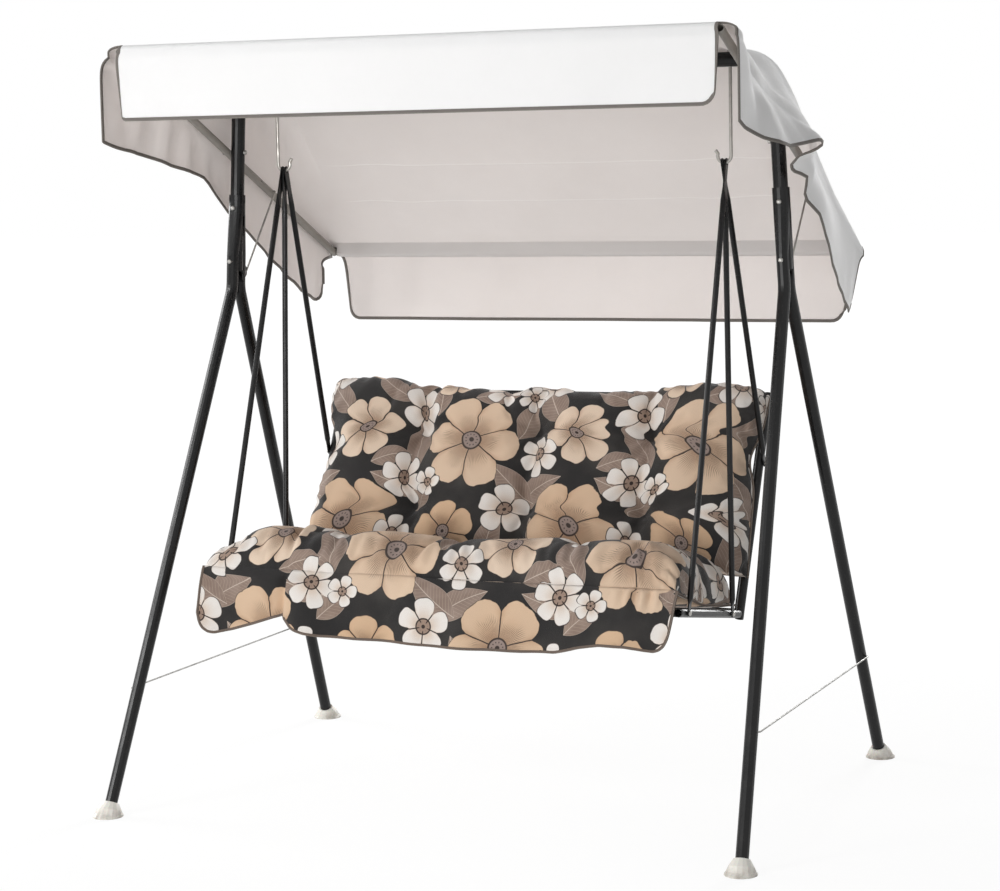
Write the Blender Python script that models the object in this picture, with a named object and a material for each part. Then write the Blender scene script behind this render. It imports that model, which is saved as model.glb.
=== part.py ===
"""A garden swing seat: a leaning tube stand, a hung seat with two cushions, and a tilting cloth canopy.

Metres, +Z up. The person on the seat faces -Y. The origin is on the floor, in the middle of the feet.
"""

from math import asin, atan2, cos, exp, hypot, pi, radians, sin, tan

import bmesh
import bpy
from mathutils import Vector

# Shared clearances and tube walls
GAP = 0.0003
OVERRUN = 0.004
TUBE_WALL = 0.0015

# Stand: two leaning side frames under one bent beam
HALF_TRACK = 0.800
BEAM_SET_BACK = 0.010
FRONT_FOOT_REACH = 0.600
REAR_FOOT_REACH = 0.580
SIDE_LEAN = radians(3.06)
BEAM_RADIUS = 0.0175
BEAM_BEND_RADIUS = 0.080

# Heights up a side, each from the one below it
LEG_BEND_HEIGHT = 1.245
POST_END_RISE = 0.047
LOWER_BOLT_RISE = 0.0229
BOLT_SPACING = 0.1356
LEG_TOP_RISE = 0.0331
PIVOT_RISE = 0.1054
BEAM_RISE = 0.193
HOOK_DROP = 0.241
STAY_PIVOT_RISE = 0.0418
POST_END = LEG_BEND_HEIGHT + POST_END_RISE
LOWER_BOLT = POST_END + LOWER_BOLT_RISE
UPPER_BOLT = LOWER_BOLT + BOLT_SPACING
LEG_TOP = UPPER_BOLT + LEG_TOP_RISE
CANOPY_PIVOT = LEG_TOP + PIVOT_RISE
BEAM_HEIGHT = CANOPY_PIVOT + BEAM_RISE
HOOK_BOTTOM = BEAM_HEIGHT - HOOK_DROP
STAY_PIVOT_HEIGHT = LEG_BEND_HEIGHT + STAY_PIVOT_RISE

# Legs: round tubes whose tops are pressed into shells round the post
LEG_RADIUS = 0.015
LEG_BEND_RADIUS = 0.077
LEG_STAND_OFF = 0.019
SHELL_WALL = 0.0027
SHELL_GAP = 0.0006
SHELL_COLLAR = 0.028
SHELL_MORPH = 0.126
SHELL_HALF_TURN = radians(86)
SHELL_CLOSING = radians(26)
DENT_CLOSING = radians(40)
DENT_FADE = 0.026
LEG_END_LIFT = 0.012
LEG_BORE_STOP = 0.060

# Foot cups
FOOT_RADIUS = 0.0375
FOOT_RIM = 0.003
FOOT_HEIGHT = 0.034
FOOT_COLLAR_WALL = 0.0038
FOOT_FLOOR = 0.0117

# Fasteners
BOLT_RADIUS = 0.003
BOLT_HEAD_RADIUS = 0.006
BOLT_HEAD_HEIGHT = 0.0042
NUT_HALF_WIDTH = 0.0052
NUT_HEIGHT = 0.005
THREAD_TAIL = 0.002

# Tie rods between the legs
TIE_RADIUS = 0.002
TIE_HEIGHT = 0.288
TIE_OFF = 0.0025

# Hooks that carry the seat
HOOK_RADIUS = 0.004
HOOK_INSET = 0.200
HOOK_SPAN = HALF_TRACK - HOOK_INSET
HOOK_BEND_RADIUS = 0.0165
HOOK_TIP = 0.010
HOOK_TIP_LEAN = radians(18)
HOOK_NUT_HEIGHT = 0.0038
HOOK_NUT_HALF_WIDTH = 0.0065

# Hanger rods
HANGER_RADIUS = 0.007
TAB_WIDTH = 0.020
TAB_THICKNESS = 0.0036
TAB_PITCH = 0.005
TAB_LENGTH = 0.062
TAB_TAPER = 0.030
TAB_EYE_RADIUS = 0.006
AXIS_LIFT = 0.0005
EYE_PLAY = 0.0005
HANGER_EYE_RADIUS = 0.0033
HANGER_PLANE = HOOK_SPAN
FOOT_TAB_LENGTH = 0.020
HANGER_BOLT_RADIUS = 0.003

# Seat frame
SEAT_TUBE_RADIUS = 0.010
UPRIGHT_RADIUS = 0.011
FRONT_HANGER = (-0.345, 0.524)
MIDDLE_HANGER_REACH = -0.025
SEAT_TILT = radians(9.94)
SEAT_TUBE_OVERHANG = 0.038
FRONT_RAIL_SET_BACK = 0.020
UPRIGHT_FOOT = (0.071, 0.4511)
UPRIGHT_TILT = radians(26.0)
UPRIGHT_TAIL = 0.012
UPRIGHT_LENGTH = 0.572
BACK_RAIL_DROP = 0.014
REAR_HANGER_HEIGHT = 0.800

# Wire nets
WIRE_THICKNESS = 0.003
SEAT_NET_GAPS = (12, 4)
BACK_NET_GAPS = (12, 5)

# Cushions
CUSHION_INSET = 0.013
CUSHION_HALF_WIDTH = HANGER_PLANE - CUSHION_INSET
SEAT_CUSHION_FRONT = -0.398
SEAT_CUSHION_REAR = 0.046
SEAT_RIM_RISE = 0.058
SEAT_CROWN_HEIGHT = 0.070
SEAT_BELLY_DEPTH = 0.0506
SEAT_FRONT_RISE = 0.020
BACK_CUSHION_OVERHANG = 0.002
BACK_CUSHION_HALF_WIDTH = HANGER_PLANE + BACK_CUSHION_OVERHANG
BACK_CUSHION_FOOT_RUN = 0.075
BACK_CUSHION_TOP_RUN = 0.598
BACK_RIM_RISE = 0.020
BACK_CROWN_HEIGHT = 0.085
BACK_BELLY_DEPTH = 0.0098
HANGER_NOTCH = 0.022
NOTCH_RISE = 0.030
NOTCH_HEIGHT = REAR_HANGER_HEIGHT + NOTCH_RISE
NOTCH_WIDTH = 0.050
TUFT_DEPTH = 0.024
TUFT_SPREAD = 0.050
CORNER_DRAW_DEPTH = 0.012
CROWN_POWERS = (10, 5)
BASE_POWERS = (16, 16)
SKIRT_LEFT_OVERHANG = 0.040
SKIRT_RIGHT_INSET = 0.010
SKIRT_LEFT = -HANGER_PLANE - SKIRT_LEFT_OVERHANG
SKIRT_RIGHT = HANGER_PLANE - SKIRT_RIGHT_INSET
SKIRT_DROP = 0.178
SKIRT_SWELL_DEPTH = 0.018
SKIRT_THICKNESS = 0.003
SKIRT_WAVE_DEPTH = 0.008
SKIRT_HEM_WAVE_DEPTH = 0.012
SKIRT_FOLDS = 3.5
SKIRT_HEM_FOLDS = 2.5

# Canopy frame
CANOPY_TILT = radians(25.3)
CANOPY_TUBE_RADIUS = 0.010
CANOPY_FRONT_REACH = 0.510
CANOPY_REAR_REACH = 0.590
CANOPY_TUBE_TAIL = 0.003
PIVOT_SPACER = 0.002
STAY_HOLE_RADIUS = 0.003
STAY_HOLE_REACH = 0.217
STAY_HOLES_BESIDE = (-0.063, 0.0475)

# Canopy stays and their brackets
STAY_RADIUS = 0.0025
STAY_CLEAR = 0.001
BRACKET_THICKNESS = 0.003
BRACKET_REACH = 0.021
BRACKET_HEIGHT = 0.030
BRACKET_EYE_RADIUS = 0.0027

# Canopy cloth
CLOTH_THICKNESS = 0.0012
CLOTH_WRAP_RADIUS = 0.0111
RIDGE_WRAP_RADIUS = 0.0245
RIDGE_SET_BACK = 0.012
SHOULDER_WRAP_RADIUS = 0.1025
SHOULDER_DROP = 0.003
SHOULDER_INSET = 0.0685
SHOULDER_HALF_WIDTH = HALF_TRACK - SHOULDER_INSET
CANOPY_BULGE = 0.012
BULGE_REACH = 0.350
TOP_SAG = 0.006
FRONT_VALANCE = 0.163
REAR_VALANCE = 0.186
SIDE_VALANCE = 0.198
SIDE_LIFT = 0.103
LIFT_PLACE = 0.030
LIFT_FRONT_WIDTH = 0.390
LIFT_REAR_WIDTH = 0.275
VALANCE_FLARE = 0.009
VALANCE_FOLD_DEPTH = 0.003
VALANCE_TAPER = 0.03
SIDE_FOLD_DEPTH = 0.014
PLEAT_DEPTH = 0.018
PLEAT_LENGTH = 0.400
FRONT_FLARE_DEPTH = 0.026
REAR_TUCK_DEPTH = 0.022
REAR_SLANT = 0.035
REAR_WRAP_TURN = radians(65)
HEM_ROUND = 0.035
FLAT_SHARES = (0.0, 0.32, 0.64, 0.95)
VALANCE_SHARES = (0.35, 0.7, 1.0)

# Facets
TUBE_SIDES = 16
WIRE_SIDES = 8
ROUND_SIDES = 12
HOOK_SIDES = 10

PAINT = ("gloss_paint", (0.012, 0.012, 0.012), 0.22, 0.0)
WHITE_PLASTIC = ("white_plastic", (0.80, 0.78, 0.74), 0.45, 0.0)
BRIGHT_STEEL = ("bright_steel", (0.62, 0.61, 0.58), 0.28, 1.0)
ZINC_STEEL = ("zinc_steel", (0.42, 0.42, 0.41), 0.42, 1.0)
GREY_TUBE = ("grey_paint", (0.30, 0.29, 0.28), 0.42, 0.0)
CANOPY_CLOTH = ("white_cloth", (0.84, 0.84, 0.83), 0.80, 0.0)
CUSHION_CLOTH = ("printed_cloth", (0.10, 0.085, 0.075), 0.85, 0.0)

SIDES = (("left", -1), ("right", 1))
ENDS = (("front", -1, FRONT_FOOT_REACH), ("rear", 1, REAR_FOOT_REACH))


def clear_scene():
    """Empties the scene."""
    for thing in list(bpy.data.objects):
        bpy.data.objects.remove(thing, do_unlink=True)


def material(name, finish):
    """A piece's own Principled material in one of the finishes."""
    finish_name, colour, roughness, metallic = finish
    made = bpy.data.materials.new(f"{name}_{finish_name}")
    made.use_nodes = True
    shader = made.node_tree.nodes["Principled BSDF"]
    shader.inputs["Base Color"].default_value = (*colour, 1.0)
    shader.inputs["Roughness"].default_value = roughness
    shader.inputs["Metallic"].default_value = metallic
    return made


def pivot(name, place, turn=(0.0, 0.0, 0.0)):
    """An empty that carries the pieces of one frame or of one moving body."""
    empty = bpy.data.objects.new(name, None)
    empty.location = place
    empty.rotation_euler = turn
    bpy.context.collection.objects.link(empty)
    return empty


def piece(name, points, faces, finish, carrier=None, smooth=True):
    """A mesh object in its carrier's own frame, with its faces pointing out."""
    mesh = bpy.data.meshes.new(name)
    mesh.from_pydata([tuple(point) for point in points], [], faces)
    shape = bmesh.new()
    shape.from_mesh(mesh)
    bmesh.ops.recalc_face_normals(shape, faces=shape.faces)
    if shape.calc_volume(signed=True) < 0:
        bmesh.ops.reverse_faces(shape, faces=shape.faces)
    shape.to_mesh(mesh)
    shape.free()
    if smooth:
        mesh.shade_smooth()
        mesh.set_sharp_from_angle(angle=radians(35))
    mesh.materials.append(material(name, finish))
    made = bpy.data.objects.new(name, mesh)
    made.parent = carrier
    bpy.context.collection.objects.link(made)
    return made


def cut(target, cutter):
    """Takes a hidden cutter out of a piece."""
    cutter.hide_render = True
    cutter.display_type = "WIRE"
    boolean = target.modifiers.new(cutter.name, "BOOLEAN")
    boolean.operation = "DIFFERENCE"
    boolean.solver = "EXACT"
    boolean.object = cutter


def loft(rings, close_ends=True):
    """Points and faces of a skin over rings of equal count, closed flat at both ends."""
    count = len(rings[0])
    points = [point for ring in rings for point in ring]
    faces = []
    for row in range(len(rings) - 1):
        for i in range(count):
            after = (i + 1) % count
            here, there = row * count, (row + 1) * count
            faces.append((here + i, here + after, there + after, there + i))
    if close_ends:
        faces.append(tuple(reversed(range(count))))
        last = (len(rings) - 1) * count
        faces.append(tuple(range(last, last + count)))
    return points, faces


def ring(centre, across, up, radius, sides):
    """A circle of points round a centre, in the plane of two unit directions."""
    turns = (2 * pi * i / sides for i in range(sides))
    return [centre + across * (radius * cos(turn)) + up * (radius * sin(turn)) for turn in turns]


def sweep_rings(path, radii, sides, across):
    """Rings square to a path that stays in the plane whose normal is across."""
    rings = []
    for i, here in enumerate(path):
        before = path[max(i - 1, 0)]
        after = path[min(i + 1, len(path) - 1)]
        run_in = (here - before).normalized() if i else (after - here).normalized()
        run_out = (after - here).normalized() if i < len(path) - 1 else run_in
        along = (run_in + run_out).normalized()
        up = along.cross(across).normalized()
        stretch = 1 / max(along.dot(run_out), cos(pi / 4))
        rings.append(
            [
                here + across * (radii[i] * cos(turn)) + up * (radii[i] * stretch * sin(turn))
                for turn in (2 * pi * k / sides for k in range(sides))
            ]
        )
    return rings


def rod(path, radius, sides, across):
    """A solid round bar along a path."""
    return loft(sweep_rings(path, [radius] * len(path), sides, across))


def pipe(path, radius, wall, sides, across):
    """An open round tube along a path."""
    outer = sweep_rings(path, [radius] * len(path), sides, across)
    inner = sweep_rings(path, [radius - wall] * len(path), sides, across)
    points, faces = loft(outer + inner[::-1], close_ends=False)
    last = (2 * len(path) - 1) * sides
    for i in range(sides):
        after = (i + 1) % sides
        faces.append((last + i, last + after, after, i))
    return points, faces


def turned(profile, centre, axis, sides=ROUND_SIDES):
    """A solid turned round an axis from pairs of radius and distance, closed on the axis at both ends."""
    axis = Vector(axis).normalized()
    across = axis.orthogonal().normalized()
    up = axis.cross(across)
    rings = [ring(centre + axis * run, across, up, radius, sides) for radius, run in profile]
    return loft(rings)


def prism(outline, low, high):
    """A flat outline carried from one face to the other; each outline point is a Vector."""
    return loft([[point + low for point in outline], [point + high for point in outline]])


def nut(centre, axis, half_width, height, hole):
    """A hexagon nut from its seat out along the axis, with its bore."""
    axis = Vector(axis).normalized()
    across = axis.orthogonal().normalized()
    up = axis.cross(across)
    steps = [2 * pi * i / ROUND_SIDES for i in range(ROUND_SIDES)]
    corner = half_width / cos(pi / 6)
    reach = [corner if i % 2 == 0 else half_width for i in range(ROUND_SIDES)]
    rings = []
    bore = [hole] * ROUND_SIDES
    for run, sizes in ((0, reach), (height, reach), (height, bore), (0, bore)):
        rings.append(
            [
                centre + axis * run + across * (size * cos(turn)) + up * (size * sin(turn))
                for size, turn in zip(sizes, steps)
            ]
        )
    points, faces = loft(rings, close_ends=False)
    last = 3 * ROUND_SIDES
    for i in range(ROUND_SIDES):
        after = (i + 1) % ROUND_SIDES
        faces.append((last + i, last + after, after, i))
    return points, faces


def bolt_profile(length, head_radius=BOLT_HEAD_RADIUS, radius=BOLT_RADIUS):
    """Radius and distance of a domed bolt: the head stands above its seat, the shank runs below it."""
    dome_shares = ((0.45, 1.0), (0.78, 0.78), (1.0, 0.35), (1.0, 0.0))
    head = [(head_radius * wide, -BOLT_HEAD_HEIGHT * high) for wide, high in dome_shares]
    return head + [(radius, 0), (radius, length)]


def leg_slope(reach):
    """How far a leg leans out of the post's line below its bend."""
    return atan2(reach - LEG_STAND_OFF, LEG_BEND_HEIGHT)


def shell_morph(height):
    """0 where the leg's top hugs the post as a thin shell, 1 where it is a round tube with a dent."""
    start = LEG_TOP - SHELL_COLLAR
    return min(max((start - height) / SHELL_MORPH, 0.0), 1.0)


def leg_front(height):
    """How far the leg's outer face stands from the post's axis at a height above the bend."""
    morph = shell_morph(height)
    shell = BEAM_RADIUS + SHELL_GAP + SHELL_WALL
    return shell + morph * (LEG_STAND_OFF + LEG_RADIUS - shell)


def leg_section(morph, fill):
    """Across and outward places of a leg's outline, outer arc first and then the face at the post."""
    shell = BEAM_RADIUS + SHELL_GAP + SHELL_WALL
    seat = BEAM_RADIUS + SHELL_GAP
    outer_half = SHELL_HALF_TURN + SHELL_CLOSING * morph
    inner_half = SHELL_HALF_TURN - DENT_CLOSING * morph
    centre = LEG_STAND_OFF * morph
    wide = shell + (LEG_RADIUS - shell) * morph
    outer_points, inner_points = 10, 7
    outline = []
    for i in range(outer_points):
        turn = outer_half * (2 * i / (outer_points - 1) - 1)
        outline.append((wide * sin(turn), centre + wide * cos(turn)))
    for i in range(inner_points):
        share = (i + 1) / (inner_points + 1)
        turn = inner_half * (1 - 2 * share)
        dent = (seat * sin(turn), seat * cos(turn))
        rest = outer_half + 2 * (pi - outer_half) * share
        round_back = (LEG_RADIUS * sin(rest), centre + LEG_RADIUS * cos(rest))
        outline.append(tuple(a + (b - a) * fill for a, b in zip(dent, round_back)))
    return outline


def leg_ring(outline, centre, slope, end, spin_centre):
    """The outline set square to the leg at a slope, turned about its own middle."""
    outward = Vector((0, end * cos(slope), sin(slope)))
    return [centre + Vector((x, 0, 0)) + outward * (away - spin_centre) for x, away in outline]


def make_leg(side, end_name, end, reach, carrier):
    """A tube from the foot to the bend, then up the post as a dented tube and a thin shell."""
    slope = leg_slope(reach)
    tangent = LEG_BEND_RADIUS * tan(slope / 2)
    round_tube = leg_section(1.0, 1.0)
    downward = Vector((0, end * sin(slope), -cos(slope)))
    bend = Vector((0, end * LEG_STAND_OFF, LEG_BEND_HEIGHT))
    foot = Vector((0, end * reach, 0)) - downward * LEG_END_LIFT
    bore = [(x * (LEG_RADIUS - TUBE_WALL) / LEG_RADIUS, LEG_STAND_OFF + (away - LEG_STAND_OFF)
             * (LEG_RADIUS - TUBE_WALL) / LEG_RADIUS) for x, away in round_tube]
    bore_top = bend + downward * (tangent + LEG_BORE_STOP)
    rings = [
        leg_ring(bore, bore_top, slope, end, LEG_STAND_OFF),
        leg_ring(bore, foot, slope, end, LEG_STAND_OFF),
        leg_ring(round_tube, foot, slope, end, LEG_STAND_OFF),
    ]
    bend_steps = 4
    arc_centre = bend + Vector((0, end * LEG_BEND_RADIUS, tangent))
    for i in range(bend_steps + 1):
        turn = slope * (1 - i / bend_steps)
        middle = arc_centre - Vector((0, end * LEG_BEND_RADIUS * cos(turn), LEG_BEND_RADIUS * sin(turn)))
        rings.append(leg_ring(round_tube, middle, turn, end, LEG_STAND_OFF))
    for height, fill in ((POST_END - DENT_FADE / 2, 0.5), (POST_END - OVERRUN, 0.0)):
        centre = Vector((0, 0, height))
        rings.append(leg_ring(leg_section(1.0, fill), centre, 0.0, end, 0.0))
    shell_foot = LEG_TOP - SHELL_COLLAR - SHELL_MORPH
    for share in (0.0, 0.25, 0.5, 0.75, 1.0):
        height = shell_foot + SHELL_MORPH * share
        rings.append(leg_ring(leg_section(1.0 - share, 0.0), Vector((0, 0, height)), 0.0, end, 0.0))
    rings.append(leg_ring(leg_section(0.0, 0.0), Vector((0, 0, LEG_TOP)), 0.0, end, 0.0))
    points, faces = loft(rings)
    leg = piece(f"leg_{end_name}_{side}", points, faces, PAINT, carrier)
    for height in (UPPER_BOLT, LOWER_BOLT):
        drill_along(leg, Vector((0, end * (leg_front(height) + OVERRUN), height)), (0, -end, 0),
                    leg_front(height) + OVERRUN, BOLT_RADIUS + GAP, carrier)
    leg_at_tie = Vector((0, end * (reach - TIE_HEIGHT * tan(slope)), TIE_HEIGHT))
    sign = -1 if side == "left" else 1
    drill_along(leg, leg_at_tie + Vector((sign * (LEG_RADIUS + OVERRUN), 0, 0)), (-sign, 0, 0),
                LEG_RADIUS + OVERRUN, TIE_RADIUS + GAP, carrier)
    return leg


def drill_along(target, start, axis, depth, radius, carrier):
    """A round hole from a start point, along an axis."""
    points, faces = turned([(radius, 0), (radius, depth)], start, axis)
    number = len(target.modifiers)
    cut(target, piece(f"cutter_{target.name}_{number}", points, faces, PAINT, carrier, smooth=False))


def make_beam():
    """One bent tube: two leaning posts with the level beam between them."""
    post_top = HALF_TRACK - BEAM_HEIGHT * tan(SIDE_LEAN)
    turn = pi / 2 - SIDE_LEAN
    tangent = BEAM_BEND_RADIUS * tan(turn / 2)
    lean = Vector((-sin(SIDE_LEAN), 0, cos(SIDE_LEAN)))
    corner = Vector((post_top, 0, BEAM_HEIGHT))
    bend_steps = 6
    half = [corner - lean * (BEAM_HEIGHT / cos(SIDE_LEAN) - POST_END)]
    centre = Vector((post_top - tangent, 0, BEAM_HEIGHT - BEAM_BEND_RADIUS))
    for i in range(bend_steps + 1):
        angle = SIDE_LEAN + turn * i / bend_steps
        half.append(centre + Vector((BEAM_BEND_RADIUS * cos(angle), 0, BEAM_BEND_RADIUS * sin(angle))))
    path = half + [Vector((-point.x, 0, point.z)) for point in reversed(half)]
    points, faces = pipe(path, BEAM_RADIUS, TUBE_WALL, TUBE_SIDES, Vector((0, 1, 0)))
    carrier = pivot("beam_plane", (0, BEAM_SET_BACK, 0))
    beam = piece("top_beam", points, faces, PAINT, carrier)
    for _, sign in SIDES:
        for height in (UPPER_BOLT, LOWER_BOLT):
            place = Vector((sign * (HALF_TRACK - height * sin(SIDE_LEAN)), -BEAM_RADIUS - OVERRUN,
                            height * cos(SIDE_LEAN)))
            drill_along(beam, place, (0, 1, 0), 2 * (BEAM_RADIUS + OVERRUN), BOLT_RADIUS + GAP, carrier)
        drill_along(beam, Vector((sign * (post_line(CANOPY_PIVOT) + BEAM_RADIUS + OVERRUN), 0, CANOPY_PIVOT)),
                    (-sign, 0, 0), 2 * (BEAM_RADIUS + OVERRUN), BOLT_RADIUS + GAP, carrier)
        drill_along(beam, Vector((sign * HOOK_SPAN, 0, BEAM_HEIGHT + BEAM_RADIUS + OVERRUN)),
                    (0, 0, -1), 2 * (BEAM_RADIUS + OVERRUN), HOOK_RADIUS + GAP, carrier)
    return carrier


def post_line(height):
    """Distance of a post's axis from the middle of the stand at a height above the floor."""
    return HALF_TRACK - height * tan(SIDE_LEAN)


def make_foot(side, sign, end_name, end, reach):
    """A cup with a flat foot whose collar follows the leaning leg."""
    slope = leg_slope(reach)
    up_leg = Vector((-sign * sin(SIDE_LEAN) * cos(slope), -end * sin(slope), cos(SIDE_LEAN) * cos(slope)))
    plumb = Vector((0, 0, 1))
    collar = LEG_RADIUS + GAP + FOOT_COLLAR_WALL
    ring_shares = ((1.0, 0.0, 0.0), (1.0, 0.0, 0.09), (0.78, 0.25, 0.24), (0.58, 0.75, 0.50), (0.0, 1.0, 1.0))
    rings = []
    for wide, lean, high in ring_shares:
        normal = plumb.lerp(up_leg, lean).normalized()
        across = Vector((0, 1, 0)).cross(normal).normalized()
        radius = collar + (FOOT_RADIUS - collar) * wide
        middle = up_leg * (FOOT_HEIGHT * high)
        if lean == 0:
            middle = plumb * (FOOT_RIM if high else 0.0)
        rings.append(ring(middle, across, normal.cross(across), radius, TUBE_SIDES))
    across = Vector((0, 1, 0)).cross(up_leg).normalized()
    socket = LEG_RADIUS + GAP
    for run in (FOOT_HEIGHT, FOOT_FLOOR):
        rings.append(ring(up_leg * run, across, up_leg.cross(across), socket, TUBE_SIDES))
    points, faces = loft(rings)
    carrier = pivot(f"foot_point_{end_name}_{side}", (sign * HALF_TRACK, BEAM_SET_BACK + end * reach, 0))
    piece(f"foot_cup_{end_name}_{side}", points, faces, WHITE_PLASTIC, carrier)


def make_leg_bolts(side, carrier):
    """Two bolts through each leg pair and post, with their nuts behind."""
    taper = (leg_front(LOWER_BOLT) - leg_front(UPPER_BOLT)) / (UPPER_BOLT - LOWER_BOLT)
    for name, height in (("upper", UPPER_BOLT), ("lower", LOWER_BOLT)):
        seat = leg_front(height) + GAP + BOLT_HEAD_RADIUS * taper
        length = 2 * seat + NUT_HEIGHT + THREAD_TAIL
        points, faces = turned(bolt_profile(length), Vector((0, -seat, height)), (0, 1, 0))
        piece(f"leg_bolt_{name}_{side}", points, faces, BRIGHT_STEEL, carrier)
        place = Vector((0, seat, height))
        points, faces = nut(place, (0, 1, 0), NUT_HALF_WIDTH, NUT_HEIGHT, BOLT_RADIUS + GAP)
        piece(f"leg_nut_{name}_{side}", points, faces, BRIGHT_STEEL, carrier, smooth=False)


def make_tie(side, sign, carrier):
    """A thin rod along the outer side of two legs, its ends turned into their holes."""
    off = sign * (LEG_RADIUS + TIE_OFF + TIE_RADIUS)
    inside = sign * (LEG_RADIUS - TUBE_WALL - TIE_RADIUS)
    bend = 2 * TIE_RADIUS
    ends = []
    for end, reach in ((-1, FRONT_FOOT_REACH), (1, REAR_FOOT_REACH)):
        ends.append(end * (reach - TIE_HEIGHT * tan(leg_slope(reach))))
    front, rear = ends
    corner = bend * (1 - cos(pi / 4))
    path = [
        (inside, front), (off - sign * bend, front), (off - sign * corner, front + corner),
        (off, front + bend), (off, rear - bend), (off - sign * corner, rear - corner),
        (off - sign * bend, rear), (inside, rear),
    ]
    path = [Vector((x, y, TIE_HEIGHT)) for x, y in path]
    points, faces = rod(path, TIE_RADIUS, WIRE_SIDES, Vector((0, 0, 1)))
    piece(f"leg_tie_{side}", points, faces, ZINC_STEEL, carrier)


def make_bracket(side, carrier):
    """A small ear behind the rear leg that holds the canopy stay."""
    front = LEG_STAND_OFF + LEG_RADIUS + GAP
    half = BRACKET_THICKNESS / 2
    low = STAY_PIVOT_HEIGHT - BRACKET_HEIGHT / 2
    high = STAY_PIVOT_HEIGHT + BRACKET_HEIGHT / 2
    trim = BRACKET_REACH / 3
    outline = [
        (front, low), (front + BRACKET_REACH - trim, low), (front + BRACKET_REACH, low + trim),
        (front + BRACKET_REACH, high - trim), (front + BRACKET_REACH - trim, high), (front, high),
    ]
    outline = [Vector((0, y, z)) for y, z in outline]
    points, faces = prism(outline, Vector((-half, 0, 0)), Vector((half, 0, 0)))
    bracket = piece(f"stay_bracket_{side}", points, faces, ZINC_STEEL, carrier, smooth=False)
    drill_along(bracket, Vector((-half - OVERRUN, stay_foot_reach(), STAY_PIVOT_HEIGHT)), (1, 0, 0),
                BRACKET_THICKNESS + 2 * OVERRUN, BRACKET_EYE_RADIUS + GAP, carrier)


def stay_foot_reach():
    """How far behind the post's axis a canopy stay turns."""
    return LEG_STAND_OFF + LEG_RADIUS + GAP + BRACKET_REACH / 2


def make_hook(side, sign, carrier):
    """A long J of round bar through the beam, its tip turned to the middle, with its nut on top."""
    top = BEAM_HEIGHT + BEAM_RADIUS + GAP + HOOK_NUT_HEIGHT
    centre = Vector((HOOK_SPAN - HOOK_BEND_RADIUS, 0, HOOK_BOTTOM + HOOK_BEND_RADIUS))
    path = [Vector((HOOK_SPAN, 0, top)), Vector((HOOK_SPAN, 0, centre.z))]
    bend_steps = 12
    for i in range(1, bend_steps + 1):
        turn = (pi + HOOK_TIP_LEAN) * i / bend_steps
        path.append(centre + Vector((HOOK_BEND_RADIUS * cos(turn), 0, -HOOK_BEND_RADIUS * sin(turn))))
    tip = Vector((-sin(HOOK_TIP_LEAN * 2), 0, cos(HOOK_TIP_LEAN * 2)))
    path.append(path[-1] + tip * HOOK_TIP)
    path = [Vector((sign * point.x, 0, point.z)) for point in path]
    points, faces = rod(path, HOOK_RADIUS, HOOK_SIDES, Vector((0, 1, 0)))
    piece(f"seat_hook_{side}", points, faces, BRIGHT_STEEL, carrier)
    seat = Vector((sign * HOOK_SPAN, 0, BEAM_HEIGHT + BEAM_RADIUS + GAP))
    points, faces = nut(seat, (0, 0, 1), HOOK_NUT_HALF_WIDTH, HOOK_NUT_HEIGHT, HOOK_RADIUS + GAP)
    piece(f"hook_nut_{side}", points, faces, BRIGHT_STEEL, carrier, smooth=False)


def canopy_tube_plane():
    """Distance of a canopy side tube's axis from the middle of the stand."""
    return post_line(CANOPY_PIVOT) + BEAM_RADIUS / cos(SIDE_LEAN) + PIVOT_SPACER + CANOPY_TUBE_RADIUS


def make_pivot_bolt(side, sign, carrier):
    """The bolt that a canopy side tube turns on, with a spacing collar, and its nut inside the post."""
    outer = canopy_tube_plane() + CANOPY_TUBE_RADIUS + GAP
    post = post_line(CANOPY_PIVOT)
    inner_face = post - BEAM_RADIUS / cos(SIDE_LEAN) - GAP
    tail = inner_face - NUT_HEIGHT - THREAD_TAIL
    collar_out = outer - 2 * (CANOPY_TUBE_RADIUS + GAP)
    collar_in = post + BEAM_RADIUS / cos(SIDE_LEAN) + GAP
    profile = bolt_profile(outer - collar_out)
    profile[-1] = (BOLT_RADIUS, outer - collar_out)
    profile += [
        (BOLT_HEAD_RADIUS, outer - collar_out), (BOLT_HEAD_RADIUS, outer - collar_in),
        (BOLT_RADIUS, outer - collar_in), (BOLT_RADIUS, outer - tail),
    ]
    points, faces = turned(profile, Vector((sign * outer, 0, CANOPY_PIVOT)), (-sign, 0, 0))
    piece(f"canopy_pivot_bolt_{side}", points, faces, BRIGHT_STEEL, carrier)
    place = Vector((sign * inner_face, 0, CANOPY_PIVOT))
    points, faces = nut(place, (-sign, 0, 0), NUT_HALF_WIDTH, NUT_HEIGHT, BOLT_RADIUS + GAP)
    piece(f"canopy_pivot_nut_{side}", points, faces, BRIGHT_STEEL, carrier, smooth=False)


def make_stand():
    """Beam, legs, feet, bolts, ties, stay brackets, hooks and canopy pivots."""
    beam_plane = make_beam()
    for side, sign in SIDES:
        frame = pivot(f"side_frame_{side}", (sign * HALF_TRACK, BEAM_SET_BACK, 0), (0, -sign * SIDE_LEAN, 0))
        for end_name, end, reach in ENDS:
            make_leg(side, end_name, end, reach, frame)
            make_foot(side, sign, end_name, end, reach)
        make_leg_bolts(side, frame)
        make_tie(side, sign, frame)
        make_bracket(side, frame)
        make_hook(side, sign, beam_plane)
        make_pivot_bolt(side, sign, beam_plane)


def canopy_line(reach):
    """Height of the canopy tubes' plane above the floor, at a reach behind the beam."""
    return CANOPY_PIVOT - reach * tan(CANOPY_TILT)


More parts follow.
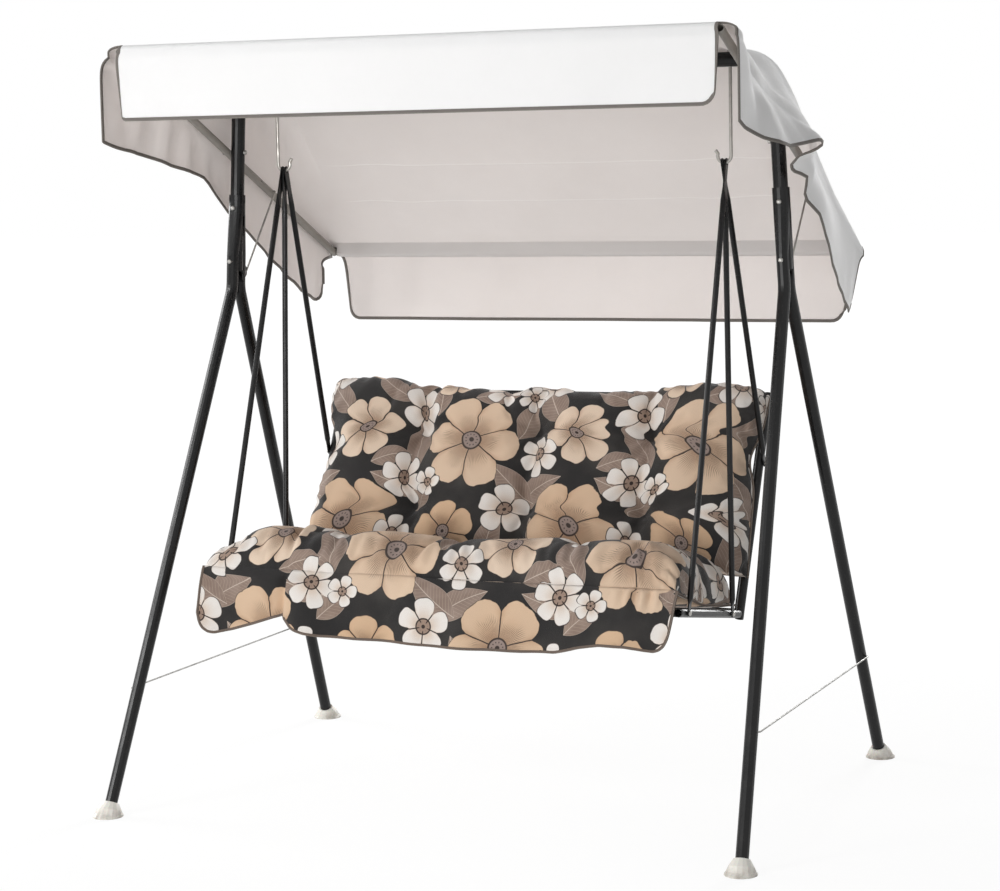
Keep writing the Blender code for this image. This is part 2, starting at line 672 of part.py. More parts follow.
def make_canopy_frame(carrier):
    """Two drilled side tubes with two cross tubes between them."""
    plane = canopy_tube_plane()
    along = Vector((0, cos(CANOPY_TILT), -sin(CANOPY_TILT)))
    front = -CANOPY_FRONT_REACH / cos(CANOPY_TILT)
    rear = CANOPY_REAR_REACH / cos(CANOPY_TILT)
    for side, sign in SIDES:
        start = Vector((sign * plane, 0, 0))
        path = [start + along * (front - CANOPY_TUBE_TAIL), start + along * (rear + CANOPY_TUBE_TAIL)]
        points, faces = pipe(path, CANOPY_TUBE_RADIUS, TUBE_WALL, ROUND_SIDES, Vector((1, 0, 0)))
        tube = piece(f"canopy_side_tube_{side}", points, faces, GREY_TUBE, carrier)
        middle = STAY_HOLE_REACH / cos(CANOPY_TILT)
        holes = [(0.0, BOLT_RADIUS + GAP)]
        holes += [(middle + beside, STAY_HOLE_RADIUS) for beside in (0.0, *STAY_HOLES_BESIDE)]
        beside_tube = start + Vector((sign * (CANOPY_TUBE_RADIUS + OVERRUN), 0, 0))
        for run, radius in holes:
            depth = 2 * (CANOPY_TUBE_RADIUS + OVERRUN)
            drill_along(tube, beside_tube + along * run, (-sign, 0, 0), depth, radius, carrier)
    half = plane - CANOPY_TUBE_RADIUS - GAP
    for name, run in (("front", front), ("rear", rear)):
        path = [along * run + Vector((-half, 0, 0)), along * run + Vector((half, 0, 0))]
        points, faces = pipe(path, CANOPY_TUBE_RADIUS, TUBE_WALL, ROUND_SIDES, Vector((0, 1, 0)))
        piece(f"canopy_{name}_tube", points, faces, GREY_TUBE, carrier)


def tangent_turn(tube):
    """Lean of the cloth's normal from plumb where it runs straight from a cross tube to the ridge."""
    away = Vector((tube[0] - RIDGE_SET_BACK, tube[1] - BEAM_HEIGHT))
    half_turn = asin((RIDGE_WRAP_RADIUS - CLOTH_WRAP_RADIUS) / away.length)
    bearing = atan2(away.y, away.x)
    return half_turn - bearing if away.x > 0 else pi - half_turn - bearing


def on_round(centre, radius, turn):
    """A place on a round, by its lean from plumb towards the rear."""
    return Vector((centre[0] + radius * sin(turn), centre[1] + radius * cos(turn)))


def cross_tubes():
    """Reach and height of the front and rear cross tubes' axes."""
    return [(reach, canopy_line(reach)) for reach in (-CANOPY_FRONT_REACH, CANOPY_REAR_REACH)]


def cloth_rows():
    """Reach and height of the cloth's inner face along its middle, from front tube to rear tube."""
    front, rear = cross_tubes()
    ridge = (RIDGE_SET_BACK, BEAM_HEIGHT)
    turns = tangent_turn(front), tangent_turn(rear)
    ends = on_round(front, CLOTH_WRAP_RADIUS, turns[0]), on_round(ridge, RIDGE_WRAP_RADIUS, turns[0])
    rows = [sagged(*ends, share) for share in (0.0, 0.08, 0.3, 0.55, 0.8)]
    middle_turn = (turns[0] + turns[1]) / 2
    rows += [on_round(ridge, RIDGE_WRAP_RADIUS, turn) for turn in (turns[0], middle_turn)]
    ends = on_round(ridge, RIDGE_WRAP_RADIUS, turns[1]), on_round(rear, CLOTH_WRAP_RADIUS, turns[1])
    rows += [sagged(*ends, share) for share in (0.0, 0.18, 0.36, 0.54, 0.72, 0.86, 0.95, 1.0)]
    return rows


def sagged(start, stop, share):
    """A place along a panel that sags between its ends."""
    place = start.lerp(stop, share)
    return place - Vector((0, 4 * TOP_SAG * share * (1 - share)))


def nearness(reach):
    """1 over the beam, falling to 0 some way in front of it and behind it."""
    return max(1 - max(abs(reach - RIDGE_SET_BACK / 2) - RIDGE_SET_BACK, 0.0) / BULGE_REACH, 0.0)


def edge_half_width(reach):
    """Half width of the cloth at the side tubes, wider over the pivot bolts."""
    return canopy_tube_plane() + CLOTH_WRAP_RADIUS + CANOPY_BULGE * nearness(reach)


def cloth_across(reach, height):
    """Half a cross row of the cloth: distance and height from the middle to just under the side tube."""
    edge = edge_half_width(reach)
    tube = canopy_line(reach)
    shoulder = edge + (SHOULDER_HALF_WIDTH - edge) * nearness(reach)
    wrap = min(SHOULDER_WRAP_RADIUS, height - tube)
    flat = shoulder - wrap
    row = [(flat * share, height) for share in FLAT_SHARES]
    top = height - SHOULDER_DROP * nearness(reach)
    for turn in (0.0, pi / 8, pi / 4, 3 * pi / 8, pi / 2):
        row.append((flat + wrap * sin(turn), top - wrap * (1 - cos(turn))))
    row.append((edge, tube - CLOTH_WRAP_RADIUS))
    return row


def side_drop(reach):
    """How far the side valance's hem hangs under the tube, less over the ridge and at its rounded ends."""
    width = LIFT_FRONT_WIDTH if reach < LIFT_PLACE else LIFT_REAR_WIDTH
    lift = SIDE_LIFT * exp(-(((reach - LIFT_PLACE) / width) ** 2))
    to_end = min(reach + CANOPY_FRONT_REACH, CANOPY_REAR_REACH - reach)
    short = max(1 - max(to_end, 0.0) / HEM_ROUND, 0.0)
    return SIDE_VALANCE - lift - HEM_ROUND * short


def make_cloth(carrier):
    """The canopy cloth: a top over both cross tubes and the beam, and four valances apart at the corners."""
    grid, points = [], []

    def add(x, y, z):
        points.append(Vector((x, y, z - CANOPY_PIVOT)))
        return len(points) - 1

    for reach, height in cloth_rows():
        half = cloth_across(reach, height)
        left = [add(-x, reach, z) for x, z in reversed(half[1:])]
        grid.append(left + [add(x, reach, z) for x, z in half])
    faces = quads(grid, len(grid[0]) // 2)
    outside = len(grid[0]) // 2 - len(FLAT_SHARES)
    bands = ((0, -1, FRONT_VALANCE, -pi / 6, -pi / 3, -pi / 2), (-1, 1, REAR_VALANCE, REAR_WRAP_TURN, pi / 2))
    for (first, end, drop, *turns), tube in zip(bands, cross_tubes()):
        top = grid[first][outside:-outside]
        band = [top]
        for turn in turns:
            y, z = on_round(tube, CLOTH_WRAP_RADIUS, turn)
            band.append([add(points[index].x, y, z) for index in top])
        for share in VALANCE_SHARES:
            row = []
            for i, index in enumerate(top):
                corner = i in (0, len(top) - 1)
                fold = VALANCE_FOLD_DEPTH * share * (1 - cos(pi * i))
                x = points[index].x * (1 - VALANCE_TAPER * share)
                z = tube[1] - (drop - (HEM_ROUND if corner else 0.0)) * share
                row.append(add(x, tube[0] + end * (CLOTH_WRAP_RADIUS + VALANCE_FLARE * share + fold), z))
            band.append(row)
        faces += quads(band)
    for column, sign in ((0, -1), (-1, 1)):
        top = [row[column] for row in grid]
        band = [top]
        for share in VALANCE_SHARES:
            row = []
            for i, index in enumerate(top):
                x, y, z = points[index]
                fold = SIDE_FOLD_DEPTH * sin(pi * i / (len(top) - 1)) ** 2
                fold += FRONT_FLARE_DEPTH * max(-y / CANOPY_FRONT_REACH, 0.0) ** 2
                fold -= REAR_TUCK_DEPTH * max(y / CANOPY_REAR_REACH, 0.0) ** 2
                fold -= PLEAT_DEPTH * sin(2 * pi * (y - LIFT_PLACE) / PLEAT_LENGTH) * nearness(y)
                slant = REAR_SLANT * max(y / CANOPY_REAR_REACH, 0.0) ** 4
                down = (side_drop(y) - CLOTH_WRAP_RADIUS) * share
                out = sign * (VALANCE_FLARE + fold) * share
                row.append(add(x + out, y - slant * share, z + CANOPY_PIVOT - down))
            band.append(row)
        faces += quads(band)
    cloth = piece("canopy_cloth", points, faces, CANOPY_CLOTH, carrier)
    face_sheet(cloth, 2, 1)
    thicken(cloth, CLOTH_THICKNESS)


def face_sheet(sheet, axis, sign):
    """Turns an open sheet over if it faces away from a direction."""
    facing = sum(face.normal[axis] * face.area for face in sheet.data.polygons)
    if facing * sign < 0:
        sheet.data.flip_normals()


def thicken(sheet, thickness):
    """Gives an open sheet its thickness on its outer side."""
    solidify = sheet.modifiers.new("thickness", "SOLIDIFY")
    solidify.thickness = thickness
    solidify.offset = 1.0


def quads(grid, mirrored=0):
    """Faces between neighbouring rows of point numbers, the first few of each row split the other way."""
    faces = []
    for upper, lower in zip(grid, grid[1:]):
        for i in range(len(upper) - 1):
            face = (upper[i], upper[i + 1], lower[i + 1], lower[i])
            faces.append(face[1:] + face[:1] if i < mirrored else face)
    return faces


def make_stay(side, sign):
    """A thin rod from the rear leg's bracket to beside the row of holes in the side tube."""
    foot_reach = stay_foot_reach()
    foot_height = STAY_PIVOT_HEIGHT * cos(SIDE_LEAN)
    across = sign * (post_line(foot_height) - BRACKET_THICKNESS / 2 - STAY_CLEAR - STAY_RADIUS)
    carrier = pivot(f"stay_axis_{side}", (across, BEAM_SET_BACK + foot_reach, foot_height))
    run = Vector((0, STAY_HOLE_REACH - foot_reach, canopy_line(STAY_HOLE_REACH) - foot_height))
    along = run.normalized()
    tube_face = canopy_tube_plane() - CANOPY_TUBE_RADIUS - GAP
    tip = sign * (tube_face - abs(across)) * Vector((1, 0, 0))
    bend = STAY_RADIUS
    pin = sign * (STAY_RADIUS + 2 * STAY_CLEAR + BRACKET_THICKNESS) * Vector((1, 0, 0))
    bend_out = sign * bend * Vector((1, 0, 0))
    path = [pin, bend_out, along * bend, run - along * bend, run + bend_out, run + tip]
    points, faces = rod(path, STAY_RADIUS, WIRE_SIDES, along.cross(Vector((1, 0, 0))).normalized())
    piece(f"canopy_stay_{side}", points, faces, ZINC_STEEL, carrier)


def make_canopy():
    """The canopy's frame and cloth, and the two stays that prop it."""
    carrier = pivot("canopy_tilt_axis", (0, BEAM_SET_BACK, CANOPY_PIVOT))
    make_canopy_frame(carrier)
    make_cloth(carrier)
    for side, sign in SIDES:
        make_stay(side, sign)


def seat_line(reach):
    """Height of the seat tubes' axis at a reach behind the beam."""
    return FRONT_HANGER[1] - (reach - FRONT_HANGER[0]) * tan(SEAT_TILT)


def upright_line(height):
    """Reach of the back uprights' axis at a height."""
    return UPRIGHT_FOOT[0] + (height - UPRIGHT_FOOT[1]) * tan(UPRIGHT_TILT)


def seat_tube_plane():
    """Distance of the seat's side tubes from its middle."""
    return HANGER_PLANE - TAB_THICKNESS / 2 - GAP - SEAT_TUBE_RADIUS


def flat_ring(centre, along, half_thick, half_wide):
    """A flattened section with the same count of points as a round one."""
    across, up = Vector((1, 0, 0)), along.cross(Vector((1, 0, 0))).normalized()
    ring_points = []
    for i in range(ROUND_SIDES):
        turn = 2 * pi * i / ROUND_SIDES
        flat = max(min(2.0 * cos(turn), 1.0), -1.0)
        ring_points.append(centre + across * (half_thick * flat) + up * (half_wide * sin(turn)))
    return ring_points


def eye_height(offset):
    """Height of a hanger's eye over the hook's lowest axis, where the eye hangs on the hook's inner side."""
    inner = HOOK_BEND_RADIUS - HOOK_RADIUS
    far = abs(offset) + TAB_THICKNESS / 2
    return HOOK_BEND_RADIUS - (inner**2 - far**2) ** 0.5 + EYE_PLAY - TAB_EYE_RADIUS


def make_hanger(name, side, sign, offset, foot, carrier):
    """A rod with a flattened eye on the hook and a flattened, drilled foot on the seat frame."""
    top = Vector((sign * (HOOK_SPAN - HOOK_BEND_RADIUS + offset), 0, eye_height(offset) - AXIS_LIFT))
    foot_point = Vector((sign * HANGER_PLANE, foot[0], foot[1] - HOOK_BOTTOM - AXIS_LIFT))
    along = (foot_point - top).normalized()
    across, up = Vector((1, 0, 0)), along.cross(Vector((1, 0, 0))).normalized()
    length = (foot_point - top).length
    half_thick, half_wide = TAB_THICKNESS / 2, TAB_WIDTH / 2
    rings = []
    eye_shares = ((1.0, 0.45), (0.7, 0.8), (0.0, 1.0))
    for run, wide in [(-half_wide * back, wide) for back, wide in eye_shares] + [(TAB_LENGTH, 1.0)]:
        rings.append(flat_ring(top + along * run, along, half_thick, half_wide * wide))
    tube = ring(Vector(), across, up, HANGER_RADIUS, ROUND_SIDES)
    for run in (TAB_LENGTH + TAB_TAPER, length - FOOT_TAB_LENGTH - TAB_TAPER / 2):
        rings.append([top + along * run + point for point in tube])
    foot_wide = HANGER_RADIUS + TAB_THICKNESS / 2
    end_length_share, end_width_share = 0.8, 0.5
    foot_end = (length + foot_wide * end_length_share, end_width_share)
    for run, wide in ((length - FOOT_TAB_LENGTH, 1.0), (length, 1.0), foot_end):
        rings.append(flat_ring(top + along * run, along, half_thick, foot_wide * wide))
    points, faces = loft(rings)
    hanger = piece(f"hanger_{name}_{side}", points, faces, PAINT, carrier)
    for middle, radius in ((top, TAB_EYE_RADIUS), (foot_point, HANGER_EYE_RADIUS)):
        start = Vector((middle.x - half_thick - OVERRUN, middle.y, middle.z))
        drill_along(hanger, start, (1, 0, 0), TAB_THICKNESS + 2 * OVERRUN, radius, carrier)


def make_hanger_bolt(name, side, sign, foot, tube, carrier):
    """The bolt through a hanger's foot and the tube that it carries."""
    seat = HANGER_PLANE + TAB_THICKNESS / 2 + GAP
    place = Vector((sign * seat, foot[0], foot[1] - HOOK_BOTTOM - AXIS_LIFT))
    length = TAB_THICKNESS + 2 * (GAP + tube)
    points, faces = turned(bolt_profile(length, radius=HANGER_BOLT_RADIUS), place, (-sign, 0, 0))
    piece(f"hanger_bolt_{name}_{side}", points, faces, BRIGHT_STEEL, carrier)


def seat_point(x, reach, height):
    """A place on the seat in the frame of the swing's axis."""
    return Vector((x, reach, height - HOOK_BOTTOM - AXIS_LIFT))


def make_seat_frame(carrier):
    """Side tubes, uprights and three cross rails, drilled for the hangers' bolts."""
    plane = seat_tube_plane()
    upright_plane = HANGER_PLANE - TAB_THICKNESS / 2 - GAP - UPRIGHT_RADIUS
    front = FRONT_HANGER[0] - SEAT_TUBE_OVERHANG
    rear = UPRIGHT_FOOT[0] - (UPRIGHT_RADIUS + GAP) / cos(UPRIGHT_TILT) - SEAT_TUBE_RADIUS * tan(UPRIGHT_TILT)
    lean = Vector((0, sin(UPRIGHT_TILT), cos(UPRIGHT_TILT)))
    middle = (MIDDLE_HANGER_REACH, seat_line(MIDDLE_HANGER_REACH))
    rear_hanger = (upright_line(REAR_HANGER_HEIGHT), REAR_HANGER_HEIGHT)
    for side, sign in SIDES:
        path = [seat_point(sign * plane, reach, seat_line(reach)) for reach in (front, rear)]
        points, faces = pipe(path, SEAT_TUBE_RADIUS, TUBE_WALL, ROUND_SIDES, Vector((1, 0, 0)))
        tube = piece(f"seat_side_tube_{side}", points, faces, PAINT, carrier)
        foot = seat_point(sign * upright_plane, *UPRIGHT_FOOT)
        path = [foot - lean * UPRIGHT_TAIL, foot + lean * UPRIGHT_LENGTH]
        points, faces = pipe(path, UPRIGHT_RADIUS, TUBE_WALL, ROUND_SIDES, Vector((1, 0, 0)))
        upright = piece(f"back_upright_{side}", points, faces, PAINT, carrier)
        for carried, spots in ((tube, (FRONT_HANGER, middle)), (upright, (rear_hanger,))):
            for reach, height in spots:
                start = seat_point(sign * (HANGER_PLANE + OVERRUN), reach, height)
                drill_along(carried, start, (-sign, 0, 0), TAB_THICKNESS + 2 * (UPRIGHT_RADIUS + OVERRUN),
                            HANGER_BOLT_RADIUS + GAP, carrier)
        hangers = (("front", 1, FRONT_HANGER, SEAT_TUBE_RADIUS), ("middle", 0, middle, SEAT_TUBE_RADIUS),
                   ("rear", -1, rear_hanger, UPRIGHT_RADIUS))
        for name, step, spot, radius in hangers:
            make_hanger(name, side, sign, step * TAB_PITCH, spot, carrier)
            make_hanger_bolt(name, side, sign, spot, radius, carrier)
    front_rail = front + FRONT_RAIL_SET_BACK
    top = UPRIGHT_LENGTH - BACK_RAIL_DROP
    top_spot = (UPRIGHT_FOOT[0] + top * sin(UPRIGHT_TILT), UPRIGHT_FOOT[1] + top * cos(UPRIGHT_TILT))
    rails = (
        ("seat_front_rail", (front_rail, seat_line(front_rail)), plane - SEAT_TUBE_RADIUS),
        ("seat_rear_rail", UPRIGHT_FOOT, upright_plane - UPRIGHT_RADIUS),
        ("back_top_rail", top_spot, upright_plane - UPRIGHT_RADIUS),
    )
    for name, spot, half in rails:
        path = [seat_point(-half + GAP, *spot), seat_point(half - GAP, *spot)]
        points, faces = pipe(path, SEAT_TUBE_RADIUS, TUBE_WALL, ROUND_SIDES, Vector((0, 1, 0)))
        piece(name, points, faces, PAINT, carrier)
    return front_rail, top


def make_net(name, start, along, length, half_width, gaps, carrier):
    """A flat wire net: a plate of crossing wires with square gaps, from its lower edge along a direction."""
    normal = Vector((1, 0, 0)).cross(along)
    columns, rows = gaps
    xs, ys = [], []
    for count, span, out in ((columns, 2 * half_width, xs), (rows, length, ys)):
        pitch = (span - WIRE_THICKNESS) / count
        for i in range(count + 1):
            out += [i * pitch, i * pitch + WIRE_THICKNESS]
    points, faces = [], []
    wide, tall = len(xs), len(ys)
    for level in (-WIRE_THICKNESS / 2, WIRE_THICKNESS / 2):
        for y in ys:
            for x in xs:
                points.append(start + Vector((x - half_width, 0, 0)) + along * y + normal * level)

    def at(level, row, column):
        return level * wide * tall + row * wide + column

    def solid(row, column):
        inside = 0 <= row < tall - 1 and 0 <= column < wide - 1
        return inside and (row % 2 == 0 or column % 2 == 0)

    for row in range(tall - 1):
        for column in range(wide - 1):
            if not solid(row, column):
                continue
            corners = ((row, column), (row, column + 1), (row + 1, column + 1), (row + 1, column))
            faces.append(tuple(at(1, *corner) for corner in corners))
            faces.append(tuple(at(0, *corner) for corner in reversed(corners)))
            beside = ((row - 1, column), (row, column + 1), (row + 1, column), (row, column - 1))
            for k, other in enumerate(beside):
                if not solid(*other):
                    first, second = corners[k], corners[(k + 1) % 4]
                    faces.append((at(0, *first), at(0, *second), at(1, *second), at(1, *first)))
    piece(name, points, faces, PAINT, carrier, smooth=False)


def crown(s, t, powers=CROWN_POWERS):
    """1 over most of a pillow, falling to 0 at its rim."""
    return ((1 - abs(s) ** powers[0]) * (1 - abs(t) ** powers[1])) ** 0.5


def make_pillow(name, frame, half_width, length, rises, tufts, carrier):
    """A crowned closed form: frame turns across, along and off-plane distances into a place."""
    columns, rows = 20, 12
    rim, up, down, front_rise = rises
    points, faces = [], []
    upper, lower = [], []
    for row in range(rows + 1):
        t = -cos(pi * row / rows)
        top_row, low_row = [], []
        for column in range(columns + 1):
            s = -cos(pi * column / columns)
            x = s * (half_width(length / 2 * (1 + t)) - CORNER_DRAW_DEPTH * (1 - t * t))
            y = length / 2 * (1 + t) - CORNER_DRAW_DEPTH * (1 - s * s) * t
            dent = 0.0
            for tuft_s, tuft_t in tufts:
                away = hypot((s - tuft_s) * half_width(0), (t - tuft_t) * length / 2)
                dent += TUFT_DEPTH * exp(-((away / TUFT_SPREAD) ** 2))
            lift = front_rise * max(-t, 0.0)
            height = (up - dent) * crown(s, t) + lift * crown(s, 0.0)
            edge = row in (0, rows) or column in (0, columns)
            points.append(frame(x, y, rim + (height if not edge else lift * crown(s, 0.0))))
            top_row.append(len(points) - 1)
            if edge:
                low_row.append(len(points) - 1)
            else:
                points.append(frame(x, y, rim - down * crown(s, t, BASE_POWERS)))
                low_row.append(len(points) - 1)
        upper.append(top_row)
        lower.append(low_row)
    faces = quads(upper) + [tuple(reversed(face)) for face in quads(lower)]
    piece(name, points, faces, CUSHION_CLOTH, carrier)


def make_cushions(carrier):
    """The seat cushion on its net, the back cushion on the uprights, and the skirt in front."""
    seat_along = Vector((0, cos(SEAT_TILT), -sin(SEAT_TILT)))
    seat_up = Vector((0, sin(SEAT_TILT), cos(SEAT_TILT)))
    start = seat_point(0, SEAT_CUSHION_FRONT, seat_line(SEAT_CUSHION_FRONT))
    length = (SEAT_CUSHION_REAR - SEAT_CUSHION_FRONT) / cos(SEAT_TILT)

    def seat_frame(x, y, up):
        return start + Vector((x, 0, 0)) + seat_along * y + seat_up * up

    rises = (SEAT_RIM_RISE, SEAT_CROWN_HEIGHT, SEAT_BELLY_DEPTH, SEAT_FRONT_RISE)
    make_pillow("seat_cushion", seat_frame, lambda _: CUSHION_HALF_WIDTH, length, rises, seat_tuft_shares(),
                carrier)
    back_along = Vector((0, sin(UPRIGHT_TILT), cos(UPRIGHT_TILT)))
    back_up = Vector((0, -cos(UPRIGHT_TILT), sin(UPRIGHT_TILT)))
    foot = seat_point(0, *UPRIGHT_FOOT) + back_along * BACK_CUSHION_FOOT_RUN

    def back_frame(x, y, up):
        return foot + Vector((x, 0, 0)) + back_along * y + back_up * up

    def back_half_width(along):
        height = UPRIGHT_FOOT[1] + (BACK_CUSHION_FOOT_RUN + along) * cos(UPRIGHT_TILT)
        notch = HANGER_NOTCH * exp(-(((height - NOTCH_HEIGHT) / NOTCH_WIDTH) ** 2))
        return BACK_CUSHION_HALF_WIDTH + CORNER_DRAW_DEPTH - notch

    make_pillow("back_cushion", back_frame, back_half_width, BACK_CUSHION_TOP_RUN - BACK_CUSHION_FOOT_RUN,
                (BACK_RIM_RISE, BACK_CROWN_HEIGHT, BACK_BELLY_DEPTH, 0.0), back_tuft_shares(), carrier)


def seat_tuft_shares():
    """Places of the seat's tufts across and along, as shares of its half sizes."""
    return [(s, 0.1) for s in (-0.66, -0.33, 0.0, 0.33, 0.66)]


def back_tuft_shares():
    """Places of the back's tufts: two rows of sewn tufts."""
    return [(s, t) for t in (-0.30, 0.42) for s in (-0.66, -0.33, 0.0, 0.33, 0.66)]


def make_skirt(carrier):
    """The flap sewn to the seat cushion's front rim, hanging in a few shallow folds."""
    columns, rows = 28, 6
    rim = SEAT_RIM_RISE + SEAT_FRONT_RISE
    front = SEAT_CUSHION_FRONT + rim * sin(SEAT_TILT) - GAP
    top = seat_line(SEAT_CUSHION_FRONT) + rim * cos(SEAT_TILT)
    grid, points = [], []
    for row in range(rows + 1):
        down = row / rows
        line = []
        for column in range(columns + 1):
            share = column / columns
            x = SKIRT_LEFT + (SKIRT_RIGHT - SKIRT_LEFT) * share
            drawn = CORNER_DRAW_DEPTH * max(1 - (x / CUSHION_HALF_WIDTH) ** 2, 0.0) * cos(SEAT_TILT)
            swell = SKIRT_SWELL_DEPTH * sin(pi / 2 * min(2 * down, 1.0))
            swell += SKIRT_WAVE_DEPTH * down * (1 + sin(2 * pi * SKIRT_FOLDS * share))
            hem = SKIRT_HEM_WAVE_DEPTH * down * sin(2 * pi * SKIRT_HEM_FOLDS * share + 1)
            points.append(seat_point(x, front + drawn - swell, top - SKIRT_DROP * down + hem))
            line.append(len(points) - 1)
        grid.append(line)
    skirt = piece("seat_skirt", points, quads(grid), CUSHION_CLOTH, carrier)
    face_sheet(skirt, 1, -1)
    thicken(skirt, SKIRT_THICKNESS)


def make_seat():
    """Everything that swings on the two hooks."""
    carrier = pivot("seat_swing_axis", (0, BEAM_SET_BACK, HOOK_BOTTOM + AXIS_LIFT))
    front_rail, top = make_seat_frame(carrier)
    seat_along = Vector((0, cos(SEAT_TILT), -sin(SEAT_TILT)))
    clear = SEAT_TUBE_RADIUS + GAP
    length = (UPRIGHT_FOOT[0] - front_rail) / cos(SEAT_TILT) - 2 * clear
    start = seat_point(0, front_rail, seat_line(front_rail)) + seat_along * clear
    make_net("seat_net", start, seat_along, length, seat_tube_plane() - clear, SEAT_NET_GAPS, carrier)
    back_along = Vector((0, sin(UPRIGHT_TILT), cos(UPRIGHT_TILT)))
    start = seat_point(0, *UPRIGHT_FOOT) + back_along * clear
    half = HANGER_PLANE - TAB_THICKNESS / 2 - 2 * (GAP + UPRIGHT_RADIUS)
    make_net("back_net", start, back_along, top - 2 * clear, half, BACK_NET_GAPS, carrier)
    make_cushions(carrier)
    make_skirt(carrier)


clear_scene()
make_stand()
make_canopy()
make_seat()
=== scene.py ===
"""The looks of a garden swing seat: a black tube stand, printed cushions on a hung frame, a white canopy.

Metres, +Z up, in the CAD's own frame. The person on the seat faces -Y.
"""

import logging
from dataclasses import dataclass
from enum import Enum
from math import cos, pi, radians, sin

import bmesh
import bpy
import numpy as np
from mathutils import Matrix


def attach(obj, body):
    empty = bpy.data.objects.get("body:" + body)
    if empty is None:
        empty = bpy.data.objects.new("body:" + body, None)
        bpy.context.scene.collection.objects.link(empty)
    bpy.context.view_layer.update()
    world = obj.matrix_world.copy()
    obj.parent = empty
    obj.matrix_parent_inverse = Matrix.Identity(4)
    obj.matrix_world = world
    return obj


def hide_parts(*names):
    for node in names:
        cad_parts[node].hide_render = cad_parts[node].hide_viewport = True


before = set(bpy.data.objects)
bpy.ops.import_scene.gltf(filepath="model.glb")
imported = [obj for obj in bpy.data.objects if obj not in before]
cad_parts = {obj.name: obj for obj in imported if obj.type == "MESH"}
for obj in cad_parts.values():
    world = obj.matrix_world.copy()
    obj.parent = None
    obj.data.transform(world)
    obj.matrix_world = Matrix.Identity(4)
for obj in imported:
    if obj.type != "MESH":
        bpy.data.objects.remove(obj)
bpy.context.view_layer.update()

log = logging.getLogger("garden_swing")
Points = np.ndarray
Colour = tuple[float, float, float, float]
WHITE = (1.0, 1.0, 1.0, 1.0)


# Surfaces


def shade(red: float, green: float, blue: float) -> Colour:
    """A colour as a painter's 0 to 255 values, turned into Blender's linear ones.

    Args:
        red, green, blue: the colour as a screen shows it.

    Returns:
        The linear colour with an alpha of 1.
    """
    part = np.array([red, green, blue]) / 255.0
    linear = np.where(part <= 0.04045, part / 12.92, ((part + 0.055) / 1.055) ** 2.4)
    return (float(linear[0]), float(linear[1]), float(linear[2]), 1.0)


def between(first: Colour, second: Colour, share: float) -> Colour:
    """The colour a share of the way from one to another."""
    return tuple(np.array(first) * (1 - share) + np.array(second) * share)


def unit(vectors: Points) -> Points:
    """The vectors at length 1."""
    return vectors / np.maximum(np.linalg.norm(vectors, axis=-1, keepdims=True), 1e-9)


def smooth(value: Points | float, low: float, high: float) -> Points:
    """0 under low, 1 over high, and 3t^2 - 2t^3 in between."""
    t = np.clip((np.asarray(value, float) - low) / (high - low), 0.0, 1.0)
    return t * t * (3 - 2 * t)


def bell(value: Points, centre: float, width: float) -> Points:
    """A bell curve of height 1: e to the minus of the squared distance in widths."""
    return np.exp(-(((np.asarray(value, float) - centre) / width) ** 2))


def grid_faces(index: Points) -> Points:
    """Four-cornered faces between neighbouring rows and columns of a grid of point numbers."""
    corners = (index[:-1, :-1], index[:-1, 1:], index[1:, 1:], index[1:, :-1])
    return np.stack(corners, axis=-1).reshape(-1, 4)


def make_mesh(name: str, points: Points, faces: list, uvs: Points | None = None) -> bpy.types.Object:
    """Puts arrays of points and faces into a smooth mesh object at the origin.

    Args:
        name: the piece's name.
        points: one row of x, y and z a point.
        faces: the point numbers of each face.
        uvs: one row of u and v a point, in metres of cloth, if the piece has a map.

    Returns:
        The new object, linked to the scene.
    """
    mesh = bpy.data.meshes.new(name)
    mesh.from_pydata(points.tolist(), [], [tuple(face) for face in faces])
    if uvs is not None:
        layer = mesh.uv_layers.new(name="cloth")
        corner = np.empty(len(mesh.loops), dtype=np.int32)
        mesh.loops.foreach_get("vertex_index", corner)
        layer.data.foreach_set("uv", uvs[corner].astype(np.float32).ravel())
    mesh.polygons.foreach_set("use_smooth", np.ones(len(mesh.polygons), dtype=bool))
    mesh.update()
    made = bpy.data.objects.new(name, mesh)
    bpy.context.scene.collection.objects.link(made)
    return made


def close_up(made: bpy.types.Object) -> None:
    """Merges a closed form's doubled points and turns all its faces outwards.

    Args:
        made: the piece.
    """
    work = bmesh.new()
    work.from_mesh(made.data)
    bmesh.ops.remove_doubles(work, verts=work.verts, dist=1e-6)
    bmesh.ops.recalc_face_normals(work, faces=work.faces)
    work.to_mesh(made.data)
    work.free()


def read_points(made: bpy.types.Object) -> Points:
    """The points of an object's own mesh, one row each.

    Args:
        made: the piece.

    Returns:
        One row of x, y and z a point.
    """
    flat = np.empty(len(made.data.vertices) * 3)
    made.data.vertices.foreach_get("co", flat)
    return flat.reshape(-1, 3)


def point_normals(points: Points, faces: Points) -> Points:
    """The outward direction at each point: the sum of the crossed diagonals of the faces round it.

    Args:
        points: one row of x, y and z a point.
        faces: the four point numbers of each face.

    Returns:
        A direction of length 1 for each point.
    """
    corner = points[faces]
    facing = np.cross(corner[:, 2] - corner[:, 0], corner[:, 3] - corner[:, 1])
    total = np.zeros_like(points)
    for place in range(4):
        np.add.at(total, faces[:, place], facing)
    return unit(total)


def run_lengths(points: Points, axis: int) -> Points:
    """Distance along one axis of a grid of points, from its start.

    Args:
        points: the grid, rows by columns by x, y and z.
        axis: 0 down the columns, 1 along the rows.

    Returns:
        The distances, rows by columns.
    """
    steps = np.linalg.norm(np.diff(points, axis=axis), axis=-1)
    pad = [(0, 0), (0, 0)]
    pad[axis] = (1, 0)
    return np.pad(np.cumsum(steps, axis=axis), pad)


